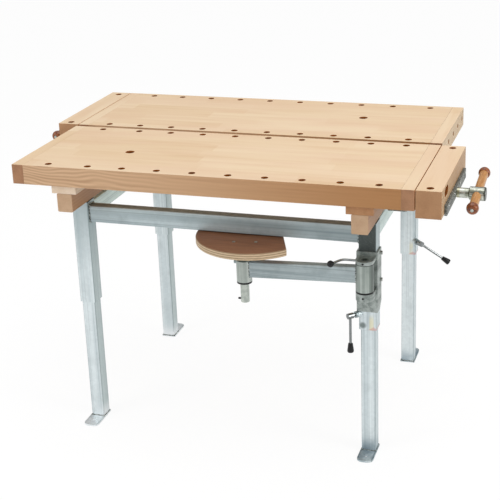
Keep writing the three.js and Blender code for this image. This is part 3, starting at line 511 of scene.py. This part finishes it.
def rail_shade(look, body, cloud):
    """Painted shade: the front and back rails darken towards their right ends, and their upper faces take a
    brown painted shadow of the bench tops.
    """
    x = look.split(look.place())[0]
    # painted shade towards the right ends of the rails
    body = look.mix(look.step(x, -0.45, 0.5) * 0.38, body, tone(112, 126, 130))
    # painted shadow of the bench tops on the upper faces of the rails
    return look.mix(look.step(look.facing()[2], 0.7, 0.9) * 0.6, body, tone(74, 62, 46))


def weld_scale(look, body, cloud):
    """Black and bright specks of scale and spatter."""
    speck = look.noise((260.0, 260.0, 260.0), 2.0)
    body = look.mix(look.step(speck, 0.46, 0.54), body, tone(34, 40, 40))
    return look.mix(look.step(speck, 0.40, 0.34), body, tone(226, 234, 234))


def collar_line_and_side_shade(look, body, cloud):
    """Dark joint under the upper collar, and painted shade on the sides of the barrel."""
    z = look.split(look.place())[2]
    barrel_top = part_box("swing_arm")[1].z
    joint = look.step(z, barrel_top - 0.0024, barrel_top - 0.0016)
    # painted shade on the sides of the barrel that face along x
    body = look.mix(look.step(abs(look.facing()[0]), 0.55, 0.95) * 0.6, body, tone(58, 66, 62))
    return look.mix(joint * 0.8, body, tone(44, 48, 46))


def speckle(look, body, cloud):
    """Grainy zinc of the bracket, with bright spots."""
    grain = look.noise((700.0, 700.0, 700.0), 2.0)
    body = look.mix(look.step(grain, 0.5, 0.66) * 0.35, body, tone(110, 118, 114))
    return look.mix(look.step(grain, 0.42, 0.3) * 0.45, body, tone(222, 228, 224))


def plated(name, pale, deep, rough, along, share, under=0.0):
    """Machined and plated steel, blotched, with fine drawn lines and, where asked for, painted shade on the
    underside.
    """
    look = Finish(name, metallic=1.0)
    drawn = look.noise(along_axis(along, 14.0, 420.0), 3.0)
    cloud = look.noise((60.0, 60.0, 60.0), 4.0)
    body = look.mix(look.step(cloud, 0.38, 0.66) * share, pale, deep)
    body = look.mix(look.step(drawn, 0.42, 0.7) * share, body, deep)
    if under:
        # painted shade: darker on the faces that turn downwards
        body = look.mix(look.step(look.facing()[2], 0.45, -0.2) * under, body, tone(40, 44, 46))
    look.set("Base Color", body)
    look.set("Roughness", rough + drawn * 0.1 + cloud * 0.08)
    look.bump(drawn, 0.05, 0.0003)
    return look.material


def vise_zinc():
    """Yellowed zinc of the vise screws: a yellow ring at the plate and a dark rim at the outer end."""
    look = Finish("vise_zinc", metallic=1.0)
    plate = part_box("front_vise_plate")[1].x
    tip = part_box("front_vise_screw")[1].x
    reach = abs(look.split(look.place())[0])
    drawn = look.noise((16.0, 300.0, 300.0), 3.0)
    cloud = look.noise((46.0, 70.0, 70.0), 4.0)
    body = look.mix(look.step(cloud, 0.4, 0.62), tone(216, 219, 208), tone(146, 149, 132))
    body = look.mix(look.step(drawn, 0.45, 0.66) * 0.75, body, tone(84, 88, 78))
    ring = look.step(abs(reach - plate - 0.005), 0.006, 0.003)
    body = look.mix(ring * 0.45, body, tone(178, 172, 132))
    rim = look.step(reach, tip - 0.007, tip - 0.004)
    look.set("Base Color", look.mix(rim * 0.8, body, tone(58, 62, 58)))
    look.set("Roughness", 0.26 + drawn * 0.14)
    look.bump(drawn, 0.06, 0.0003)
    return look.material


def rolled_plate():
    """Dull speckled plate of the vise fronts."""
    look = Finish("vise_plate_steel", metallic=0.7)
    speck = look.step(look.noise((170.0, 170.0, 170.0), 2.0), 0.42, 0.62)
    cloud = look.noise((25.0, 25.0, 25.0), 4.0)
    body = look.mix(speck * 0.8, tone(96, 100, 97), tone(178, 180, 172))
    look.set("Base Color", look.mix(look.step(cloud, 0.4, 0.7) * 0.35, body, tone(78, 82, 80)))
    look.set("Roughness", 0.46 + cloud * 0.15)
    look.bump(speck, 0.1, 0.0004)
    return look.material


def black_plastic():
    """Moulded black plastic with a fine grain and worn high spots."""
    look = Finish("black_moulded_plastic", specular_ior_level=0.35)
    grain = look.noise((900.0, 900.0, 900.0), 2.0)
    cloud = look.noise((60.0, 60.0, 60.0), 3.0)
    look.set("Base Color", look.mix(look.step(cloud, 0.4, 0.8), tone(9, 9, 10), tone(24, 24, 26)))
    look.set("Roughness", 0.26 + grain * 0.16)
    look.bump(grain, 0.08, 0.0003)
    return look.material


def make_finishes():
    """One material for each kind of surface, by a plain name."""
    beech = (PALE_BEECH, WARM_BEECH)
    sawn_end = (tone(176, 130, 96), tone(142, 100, 70))
    jaw_side = (tone(188, 155, 117), tone(170, 136, 98))
    cap_side = (tone(218, 198, 168), tone(206, 180, 144))
    bearer = ((tone(214, 176, 138), tone(186, 146, 110)), (tone(184, 144, 110), tone(170, 130, 96)))
    pale_strip = (tone(236, 216, 194), tone(222, 196, 168))
    amber_strip = (tone(188, 140, 98), tone(160, 112, 74))
    zinc_leg = (tone(230, 239, 241), tone(209, 220, 223))
    # painted shade: the rails, the arm, the bracket and the barrel take darker zinc than the legs, for the
    # shade under the tops
    shaded_zinc_rail = (tone(200, 214, 218), tone(172, 188, 192))
    shaded_zinc_arm = (tone(182, 194, 196), tone(156, 169, 172))
    zinc_mint = (tone(218, 235, 232), tone(200, 219, 216))
    shaded_zinc_bracket = (tone(176, 184, 180), tone(134, 142, 138))
    shaded_zinc_barrel = (tone(196, 204, 198), tone(142, 151, 145))
    zinc_post = (tone(204, 210, 204), tone(170, 178, 172))
    across = {"stave": ONE_PLANK, "grain": "y", "across": "x"}
    return {
        "top": wood("beech_top", beech, (tone(218, 181, 144), tone(177, 127, 80)), sawn_end,
                    TOP_STAVE, swell=TOP_SWELL),
        "cap": wood("beech_cap", beech, cap_side, sawn_end, **across),
        "jaw": wood("beech_jaw", beech, jaw_side, (tone(180, 136, 98), tone(156, 112, 76)), **across),
        "bearer": wood("beech_bearer", *bearer, (tone(203, 170, 138), tone(181, 145, 113)), **across),
        "left_packing": wood("pale_packing", pale_strip, pale_strip, pale_strip, **across),
        "right_packing": wood("amber_packing", amber_strip, amber_strip, amber_strip, **across),
        "bore": bored_wood("bored_beech", tone(176, 104, 48), tone(126, 74, 34)),
        "mouth": bored_wood("jaw_face_beech", tone(226, 180, 132), tone(206, 156, 108)),
        "bar": turned_wood("bar_hardwood", tone(204, 152, 94), tone(178, 120, 66), 0.25),
        "knob": turned_wood("knob_hardwood", tone(160, 88, 38), tone(102, 48, 20), 0.6),
        "seat": plywood(),
        "leg": galvanised("galvanised_leg", "z", *zinc_leg, depth=0.3,
                          marks=[painted_corner_and_side_shade(LEG_SIZE / 2), painted_foot_shade_and_highlight]),
        "sleeve": galvanised("galvanised_sleeve", "z", *zinc_leg, depth=0.35,
                             marks=[painted_corner_and_side_shade(SLEEVE_SIZE / 2), chromate_tints_and_painted_shade]),
        # the front right sleeve carries painted shade on its upper front
        "dark_sleeve": galvanised("galvanised_sleeve_scaled", "z", *zinc_leg, depth=0.35,
                                  marks=[painted_corner_and_side_shade(SLEEVE_SIZE / 2), chromate_tints_and_painted_shade, painted_front_shade]),
        "rail_x": galvanised("galvanised_rail_along", "x", *shaded_zinc_rail, shine=0.3, depth=0.6,
                             marks=[rail_shade]),
        "rail_y": galvanised("galvanised_rail_across", "y", *zinc_mint, shine=0.45, depth=0.35),
        "arm": galvanised("galvanised_arm", "x", *shaded_zinc_arm, shine=0.5, depth=0.55),
        "bracket": galvanised("galvanised_bracket", "y", *shaded_zinc_bracket, shine=0.75, depth=0.15,
                              marks=[speckle]),
        "barrel": galvanised("turned_barrel", "z", *shaded_zinc_barrel, shine=0.85, depth=0.45,
                             marks=[collar_line_and_side_shade]),
        "post_sleeve": galvanised("galvanised_post_sleeve", "z", *zinc_post, shine=0.7, depth=0.4),
        "weld": galvanised("weld_bead_zinc", "z", *zinc_post, shine=0.5, depth=0.7, marks=[weld_scale]),
        "vise_zinc": vise_zinc(),
        "chrome": plated("lever_chrome", tone(184, 188, 188), tone(120, 124, 124), 0.14, "z", 0.25,
                         under=0.65),
        "pivot": plated("pivot_zinc", tone(200, 206, 198), tone(140, 148, 142), 0.24, "z", 0.5),
        "bolt": plated("bolt_zinc", tone(206, 208, 204), tone(130, 132, 126), 0.22, "x", 0.5),
        "plate": rolled_plate(),
        "black": black_plastic(),
    }


finishes = make_finishes()

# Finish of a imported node, by the end of its name: the first end that fits counts
FINISH_BY_END = {
    "top_board": "top",
    "end_cap": "cap",
    "vise_jaw": "jaw",
    "_bearer": "bearer",
    "left_packing_board": "left_packing",
    "right_packing_board": "right_packing",
    "vise_bar": "bar",
    "seat_disc": "seat",
    "front_right_leg_sleeve": "dark_sleeve",
    "leg_sleeve": "sleeve",
    "_leg": "leg",
    "side_rail": "rail_y",
    "_rail": "rail_x",
    "swing_arm": "arm",
    "seat_bracket": "bracket",
    "seat_plate": "leg",
    "vise_plate": "plate",
    "nut_block": "plate",
    "vise_screw": "vise_zinc",
    "guide_rod_1": "bolt",
    "guide_rod_2": "bolt",
    "bracket_bolt": "bolt",
    "clamp_lever": "chrome",
    "lock_lever": "chrome",
    "pivot_pin": "pivot",
    "seat_post": "pivot",
    "lever_grip": "black",
    "_bush": "black",
    "lock_ball": "black",
}

# Rounding of the edges, in metres, by the end of a node's name
ROUNDED = {
    "top_board": 0.0009,
    "end_cap": 0.0007,
    "vise_jaw": 0.002,
    "packing_board": 0.0015,
    "vise_plate": 0.0008,
    "nut_block": 0.001,
    "vise_bar": 0.001,
    "guide_rod_1": 0.001,
    "guide_rod_2": 0.001,
    "bracket_bolt": 0.0006,
    "leg_sleeve": 0.0005,
    "_leg": 0.0005,
    "_bearer": 0.0008,
    "seat_bracket": 0.0006,
    "seat_disc": 0.0012,
}


def by_end(table, node, otherwise=None):
    """What a table holds for the end of a node's name."""
    return next((entry for end, entry in table.items() if node.endswith(end)), otherwise)


def other_finishes(node):
    """Finishes of some faces of a node: pairs of a finish and a test of a face's middle."""
    low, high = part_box(node)

    def sunk(spot):
        return all(low[axis] + SUNK_DEPTH < spot[axis] < high[axis] - SUNK_DEPTH for axis in range(3))

    def within(centre, radius):
        return lambda spot: (spot.xy - centre.xy).length < radius

    def in_mouth(spot):
        ahead = node.startswith("front") != node.endswith("vise_jaw")
        return spot.x > high.x - FACE_DEPTH if ahead else spot.x < low.x + FACE_DEPTH

    if node.endswith(("vise_end_cap", "vise_jaw")):
        return [(finishes["bore"], sunk), (finishes["mouth"], in_mouth)]
    if node.endswith(("top_board", "end_cap")):
        return [(finishes["bore"], sunk)]
    if node == "swing_arm":
        barrel = within(middle("pivot_pin"), BARREL_REACH)
        post_sleeve = within(middle("seat_plate"), POST_SLEEVE_REACH)
        return [(finishes["barrel"], barrel), (finishes["post_sleeve"], post_sleeve)]
    if node == "seat_post":
        post = within(middle("seat_plate"), POST_REACH)
        return [(finishes["black"], lambda spot: not post(spot))]
    return []


def place_piece(name, mesh, body, node=None, rounding=0):
    """Puts a finished mesh into the scene on its body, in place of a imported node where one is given."""
    piece = bpy.data.objects.new(name, mesh)
    bpy.context.scene.collection.objects.link(piece)
    if rounding:
        soften = piece.modifiers.new("soft_edges", "BEVEL")
        soften.width = rounding
        soften.segments = BEVEL_SEGMENTS
        soften.limit_method = "ANGLE"
        soften.angle_limit = BEVEL_ANGLE
        level = piece.modifiers.new("flat_shading", "WEIGHTED_NORMAL")
        level.keep_sharp = False
    if node:
        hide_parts(node)
    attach(piece, body)


def dress(node):
    """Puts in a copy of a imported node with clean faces, soft edges and its finishes."""
    mesh = nodes[node].data.copy()
    shape = bmesh.new()
    shape.from_mesh(mesh)
    bmesh.ops.remove_doubles(shape, verts=shape.verts, dist=MERGE_DISTANCE)
    bmesh.ops.dissolve_limit(shape, angle_limit=FLAT_ANGLE, verts=shape.verts, edges=shape.edges)
    others = other_finishes(node)
    for face in shape.faces:
        face.smooth = True
        spot = face.calc_center_median()
        face.material_index = next((n for n, (_, test) in enumerate(others, 1) if test(spot)), 0)
    for edge in shape.edges:
        edge.smooth = not edge.is_manifold or edge.calc_face_angle() < SHARP_ANGLE
    mesh.materials.clear()
    shape.to_mesh(mesh)
    shape.free()
    mesh.materials.append(finishes[by_end(FINISH_BY_END, node)])
    for finish, _ in others:
        mesh.materials.append(finish)
    place_piece(node + "_finished", mesh, body_of[node], node, by_end(ROUNDED, node, 0))


class Recipe(Board):
    """A Geometry Nodes tree with named sizes."""

    def __init__(self, name, sizes):
        super().__init__(bpy.data.node_groups.new(name, "GeometryNodeTree"))
        face = self.tree.interface
        face.new_socket("Geometry", in_out="OUTPUT", socket_type="NodeSocketGeometry")
        face.new_socket("Geometry", in_out="INPUT", socket_type="NodeSocketGeometry")
        self.keys = {}
        for size, value in sizes.items():
            made = face.new_socket(size, in_out="INPUT", socket_type="NodeSocketFloat")
            made.default_value = value
            self.keys[size] = made.identifier
        self.start = self.tree.nodes.new("NodeGroupInput")
        self.finish = self.tree.nodes.new("NodeGroupOutput")

    def given(self, name):
        """An input of the tree."""
        return Wire(self, self.start.outputs[name])

    def lifted(self, shape, height):
        """A shape moved up."""
        offset = self.node("ShaderNodeCombineXYZ", inputs={2: height})
        return self.node("GeometryNodeTransform", inputs={0: shape, "Translation": offset})

    def close(self, instances, material):
        """Ends the tree in a plain mesh of one material."""
        solid = self.node("GeometryNodeRealizeInstances", inputs={0: instances})
        painted = self.node("GeometryNodeSetMaterial", inputs={0: solid, "Material": material})
        self.feed(self.finish.inputs[0], painted)

    def run(self, name, mesh, body, slot, sizes):
        """Applies the tree to a mesh of points or lines and keeps the plain result."""
        holder = bpy.data.objects.new(name + "_layout", mesh)
        bpy.context.scene.collection.objects.link(holder)
        work = holder.modifiers.new("layout", "NODES")
        work.node_group = self.tree
        for size, value in sizes.items():
            work[self.keys[size]] = value
        graph = bpy.context.evaluated_depsgraph_get()
        made = bpy.data.meshes.new_from_object(holder.evaluated_get(graph))
        holder.modifiers.clear()
        bpy.data.objects.remove(holder)
        place_piece(name, made, body)


def screw_recipe(name, material):
    """Round-headed screws with a socket in the head, one on each point."""
    recipe = Recipe(name, PLATE_SCREW)
    radius = recipe.given("Diameter") * 0.5
    height = recipe.given("Height")
    skirt = recipe.node(
        "GeometryNodeMeshCylinder",
        inputs={"Vertices": HEAD_SIDES, "Radius": radius, "Depth": height * SKIRT_HEIGHT},
    )
    crown = recipe.node(
        "GeometryNodeMeshCone",
        inputs={
            "Vertices": HEAD_SIDES,
            "Radius Top": radius * CROWN_TOP,
            "Radius Bottom": radius * CROWN_FOOT,
            "Depth": height * CROWN_HEIGHT,
        },
    )
    key = recipe.node(
        "GeometryNodeMeshCylinder",
        inputs={"Vertices": SOCKET_SIDES, "Radius": recipe.given("Socket") * 0.5, "Depth": height},
    )
    skirt = recipe.lifted(skirt, height * (SKIRT_HEIGHT / 2))
    crown = recipe.lifted(crown, height * (1 - CROWN_HEIGHT))
    key = recipe.lifted(key, height)
    both = recipe.node("GeometryNodeMeshBoolean", {"operation": "UNION"}, {1: skirt})
    recipe.feed(both.socket.node.inputs[1], crown)
    head = recipe.node("GeometryNodeMeshBoolean", {"operation": "DIFFERENCE"}, {0: both, 1: key})
    way = recipe.node("GeometryNodeInputNamedAttribute", {"data_type": "FLOAT_VECTOR"}, {"Name": "way"})
    turn = recipe.node("FunctionNodeAlignRotationToVector", {"axis": "Z"}, {"Vector": way})
    spread = recipe.node(
        "GeometryNodeInstanceOnPoints",
        inputs={"Points": recipe.given("Geometry"), "Instance": head, "Rotation": turn},
    )
    recipe.close(spread, material)
    return recipe


def weld_recipe(material):
    """A row of overlapping beads along each line, of slightly uneven size."""
    recipe = Recipe("weld_beads", FOOT_WELD)
    path = recipe.node("GeometryNodeMeshToCurve", inputs={0: recipe.given("Geometry")})
    points = recipe.node(
        "GeometryNodeResampleCurve",
        {"mode": "LENGTH"},
        {0: path, "Length": recipe.given("Pitch")},
    )
    bead = recipe.node(
        "GeometryNodeMeshIcoSphere",
        inputs={"Radius": recipe.given("Radius"), "Subdivisions": 1},
    )
    least, most = BEAD_SCALES
    uneven = recipe.node(
        "FunctionNodeRandomValue",
        {"data_type": "FLOAT"},
        {2: least, 3: most, "Seed": BEAD_SEED},
        output=1,
    )
    spread = recipe.node(
        "GeometryNodeInstanceOnPoints",
        inputs={"Points": points, "Instance": bead, "Scale": uneven},
    )
    recipe.close(spread, material)
    return recipe


def point_mesh(name, places):
    """A mesh of loose points, each with the direction that its fitting faces."""
    mesh = bpy.data.meshes.new(name)
    mesh.from_pydata([place for place, _ in places], [], [])
    ways = mesh.attributes.new("way", "FLOAT_VECTOR", "POINT")
    for number, (_, way) in enumerate(places):
        ways.data[number].vector = way
    return mesh


def line_mesh(name, lines):
    """A mesh of open or closed lines, each a list of points."""
    mesh = bpy.data.meshes.new(name)
    places = []
    edges = []
    for line in lines:
        first = len(places)
        places.extend(line)
        edges.extend((first + i, first + i + 1) for i in range(len(line) - 1))
    mesh.from_pydata(places, edges, [])
    return mesh


def turned_mesh(name, profile, origin, way):
    """A turned shape: profile pairs of distance along its axis and radius, closed at both ends."""
    shape = bmesh.new()
    aim = way.to_track_quat("Z", "Y").to_matrix().to_4x4()
    rings = []
    for distance, radius in profile:
        ring = []
        for step in range(TURNED_SIDES):
            turn = 2 * math.pi * step / TURNED_SIDES
            spot = Vector((radius * math.cos(turn), radius * math.sin(turn), distance))
            ring.append(shape.verts.new(origin + aim @ spot))
        rings.append(ring)
    for lower, upper in zip(rings, rings[1:]):
        for step in range(TURNED_SIDES):
            after = (step + 1) % TURNED_SIDES
            shape.faces.new((lower[step], lower[after], upper[after], upper[step]))
    shape.faces.new(list(reversed(rings[0])))
    shape.faces.new(rings[-1])
    bmesh.ops.recalc_face_normals(shape, faces=shape.faces)
    for face in shape.faces:
        face.smooth = True
    for edge in shape.edges:
        edge.smooth = edge.calc_face_angle() < TURNED_SHARP_ANGLE
    mesh = bpy.data.meshes.new(name)
    shape.to_mesh(mesh)
    shape.free()
    return mesh


def add_knobs():
    """Turned knobs on the bar ends, each held by a screw."""
    screws = screw_recipe("knob_screws", finishes["pivot"])
    curve = interpolate_bezier(*(Vector(spot) for spot in KNOB_CURVE), KNOB_CURVE_POINTS)
    start = curve[0].x
    end = curve[-1].x
    profile = [(start, KNOB_INNER_RADIUS), *curve, (end, KNOB_OUTER_RADIUS)]
    for side in ("front", "back"):
        body = side + "_bar"
        bar = middle(side + "_vise_bar")
        tips = []
        for node in (side + "_vise_knob_outer", side + "_vise_knob_inner"):
            centre = middle(node)
            way = (centre - bar).normalized()
            mesh = turned_mesh(node, profile, centre, way)
            mesh.materials.append(finishes["knob"])
            place_piece(node + "_finished", mesh, body, node)
            tips.append((centre + way * end, way))
        screws.run(side + "_knob_screws", point_mesh("tips", tips), body, "bright_steel", KNOB_SCREW)


def outer_end(node, sign):
    """Where a node ends along x, towards plus or minus."""
    low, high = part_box(node)
    return high.x if sign > 0 else low.x


def add_plate_screws(side, sign, screws):
    """A row of screws along the upper edge of a vise plate."""
    node = side + "_vise_plate"
    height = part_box(node)[1].z - PLATE_SCREW_DROP
    places = [
        (Vector((outer_end(node, sign), middle(node).y + offset, height)), Vector((sign, 0, 0)))
        for offset in PLATE_SCREW_OFFSETS
    ]
    mesh = point_mesh("plate", places)
    screws.run(side + "_plate_screws", mesh, side + "_jaw", "bright_steel", PLATE_SCREW)


def add_cap_bolts(side, sign, screws):
    """Bolts in the recesses of both end caps of a top."""
    places = []
    for cap, outward in (("vise", sign), ("far", -sign)):
        node = f"{side}_{cap}_end_cap"
        depth = outer_end(node, outward) - outward * CAP_RECESS_DEPTH
        centre = middle(node)
        for number in range(CAP_BOLT_COUNT):
            offset = (number - (CAP_BOLT_COUNT - 1) / 2) * CAP_BOLT_PITCH
            places.append((Vector((depth, centre.y + offset, centre.z)), Vector((outward, 0, 0))))
    screws.run(side + "_cap_bolts", point_mesh("caps", places), "frame", "bright_steel", CAP_BOLT)


def add_seat_screws(screws):
    """Screws in the top of the seat."""
    post = middle("seat_plate")
    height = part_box("seat_disc")[1].z
    places = [
        (Vector((post.x + x, post.y + y, height)), Vector((0, 0, 1)))
        for x, y in SEAT_SCREW_SPOTS
    ]
    screws.run("seat_screws", point_mesh("seat", places), "seat", "bright_steel", SEAT_SCREW)


def add_set_screws(screws):
    """Set screws in the front of the two collars that hold the pivot pin."""
    pivot = middle("pivot_pin")
    low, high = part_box("pivot_pin")
    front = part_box("seat_bracket")[0].y + SET_SCREW_SINK
    places = [
        (Vector((pivot.x, front, height)), Vector((0, -1, 0)))
        for height in (low.z + LOWER_SET_SCREW_RISE, high.z - UPPER_SET_SCREW_DROP)
    ]
    screws.run("collar_set_screws", point_mesh("collars", places), "frame", "black_plastic", SET_SCREW)


def add_screws():
    """Screws and bolts of the vise plates, end caps, seat and collars."""
    bright = screw_recipe("bright_screws", finishes["bolt"])
    for side, sign in (("front", 1), ("back", -1)):
        add_plate_screws(side, sign, bright)
        add_cap_bolts(side, sign, bright)
    add_seat_screws(bright)
    add_set_screws(screw_recipe("dark_set_screws", finishes["black"]))


def rail_spot(axis, end, aside, level):
    """A point on the end of a rail that runs along x (0) or y (1)."""
    return Vector((aside, end, level) if axis else (end, aside, level))


def add_rail_welds(beads):
    """Beads along the four sides of each end of the rails."""
    lines = []
    for rail, axis in (("front_rail", 0), ("back_rail", 0), ("left_side_rail", 1), ("right_side_rail", 1)):
        low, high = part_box(rail)
        across = 1 - axis
        sides = (low[across] + WELD_INSET, high[across] - WELD_INSET)
        levels = (low.z + WELD_INSET, high.z - WELD_INSET)
        for end in (low[axis], high[axis]):
            for level in (low.z, high.z):
                lines.append([rail_spot(axis, end, aside, level) for aside in sides])
            for aside in (low[across], high[across]):
                lines.append([rail_spot(axis, end, aside, level) for level in levels])
    beads.run("frame_welds", line_mesh("rail_ends", lines), "frame", "galvanised_steel", RAIL_WELD)


def add_foot_welds(beads):
    """Beads round the foot of each leg."""
    half = LEG_SIZE / 2
    for corner in ("front_left", "front_right", "back_left", "back_right"):
        low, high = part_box(corner + "_leg")
        heel = high.y - half if corner.startswith("front") else low.y + half
        tube = Vector((middle(corner + "_leg").x, heel, FOOT_THICKNESS))
        ring = [
            tube + Vector((x * half, y * half, 0))
            for x, y in ((-1, -1), (1, -1), (1, 1), (-1, 1), (-1, -1))
        ]
        mesh = line_mesh(corner, [ring])
        beads.run(corner + "_foot_weld", mesh, corner + "_inner_leg", "galvanised_steel", FOOT_WELD)


def add_arm_welds(beads):
    """Beads up both sides of the arm, at the post sleeve and at the barrel."""
    pivot = middle("pivot_pin")
    joints = (
        (middle("seat_plate").x + WELD_AT_POST, ARM_LEVELS[0]),
        (pivot.x - WELD_AT_BARREL, ARM_LEVELS[1]),
    )
    rise = Vector((0, 0, ARM_HEIGHT - 2 * ARM_WELD_INSET))
    lines = []
    for x, level in joints:
        for aside in (-ARM_WIDTH / 2, ARM_WIDTH / 2):
            foot = Vector((x, pivot.y + aside, level + ARM_WELD_INSET))
            lines.append([foot, foot + rise])
    beads.run("arm_welds", line_mesh("arm_sides", lines), "seat_arm", "galvanised_steel", ARM_WELD)


def add_welds():
    """Weld beads where the tubes and plates of the frame, the legs and the arm meet."""
    beads = weld_recipe(finishes["weld"])
    add_rail_welds(beads)
    add_foot_welds(beads)
    add_arm_welds(beads)


def build_camera():
    """The photograph's viewpoint, with the shift of the lens that its framing needs."""
    forward = Vector((
        math.sin(CAMERA_YAW) * math.cos(CAMERA_PITCH),
        math.cos(CAMERA_YAW) * math.cos(CAMERA_PITCH),
        math.sin(CAMERA_PITCH),
    ))
    level = Vector((math.cos(CAMERA_YAW), -math.sin(CAMERA_YAW), 0))
    upward = level.cross(forward)
    right = level * math.cos(CAMERA_ROLL) + upward * math.sin(CAMERA_ROLL)
    up = upward * math.cos(CAMERA_ROLL) - level * math.sin(CAMERA_ROLL)
    data = bpy.data.cameras.new("camera")
    data.sensor_width = SENSOR_MM
    data.lens = FOCAL_PIXELS / PHOTO_SIDE * SENSOR_MM
    data.shift_x = (PHOTO_SIDE / 2 - AXIS_PIXEL[0]) / PHOTO_SIDE
    data.shift_y = (AXIS_PIXEL[1] - PHOTO_SIDE / 2) / PHOTO_SIDE
    camera = bpy.data.objects.new("camera", data)
    camera.matrix_world = Matrix((
        (right.x, up.x, -forward.x, VIEWPOINT.x),
        (right.y, up.y, -forward.y, VIEWPOINT.y),
        (right.z, up.z, -forward.z, VIEWPOINT.z),
        (0, 0, 0, 1),
    ))
    bpy.context.scene.collection.objects.link(camera)
    bpy.context.scene.camera = camera


def build_floor():
    """A pale floor that reads as white and keeps a faint shadow."""
    look = Finish("pale_floor", base_color=FLOOR_GREY, roughness=0.9)
    rays = look.node("ShaderNodeLightPath").socket.node.outputs
    seen = Wire(look, rays["Is Camera Ray"]) + Wire(look, rays["Is Glossy Ray"])
    seen = seen + Wire(look, rays["Is Transmission Ray"])
    glow = look.node("ShaderNodeEmission", inputs={"Color": WHITE, "Strength": FLOOR_GLOW})
    mixed = look.node("ShaderNodeMixShader", inputs={0: seen * FLOOR_GLOW_SHARE, 2: glow})
    look.tree.links.new(look.shader.outputs[0], mixed.socket.node.inputs[1])
    look.tree.links.new(mixed.socket, look.tree.nodes["Material Output"].inputs[0])
    level = cad_box[0].z - FLOOR_DROP
    corners = [
        (x * FLOOR_REACH, y * FLOOR_REACH, level)
        for x, y in ((-1, -1), (1, -1), (1, 1), (-1, 1))
    ]
    mesh = bpy.data.meshes.new("floor")
    mesh.from_pydata(corners, [], [(0, 1, 2, 3)])
    mesh.materials.append(look.material)
    floor = bpy.data.objects.new("floor", mesh)
    bpy.context.scene.collection.objects.link(floor)


def build_room():
    """Soft light from all round, by the height of its direction."""
    world = bpy.data.worlds.new("studio")
    world.use_nodes = True
    room = Board(world.node_tree)
    aim = room.node("ShaderNodeTexCoord", output="Generated")
    rise = room.node("ShaderNodeSeparateXYZ", inputs={0: aim}, output=2)
    stops = [(height, (grey, grey, grey, 1)) for height, grey in ROOM_GREYS]
    glow = room.node("ShaderNodeValToRGB", {"stops": stops}, {0: rise})
    room.feed(world.node_tree.nodes["Background"].inputs["Color"], glow)
    bpy.context.scene.world = world


def build_lamps():
    """Large round lamps, each aimed at a point."""
    for name, place, target, diameter, watts in LAMPS:
        data = bpy.data.lights.new(name, "AREA")
        data.shape = "DISK"
        data.size = diameter
        data.energy = watts
        lamp = bpy.data.objects.new(name, data)
        lamp.location = place
        lamp.rotation_euler = (Vector(target) - Vector(place)).to_track_quat("-Z", "Y").to_euler()
        bpy.context.scene.collection.objects.link(lamp)


for node in sorted(nodes):
    if "_vise_knob_" not in node:
        dress(node)
add_knobs()
add_screws()
add_welds()
build_camera()
build_floor()
build_room()
build_lamps()
bpy.context.scene.view_settings.view_transform = "Standard"
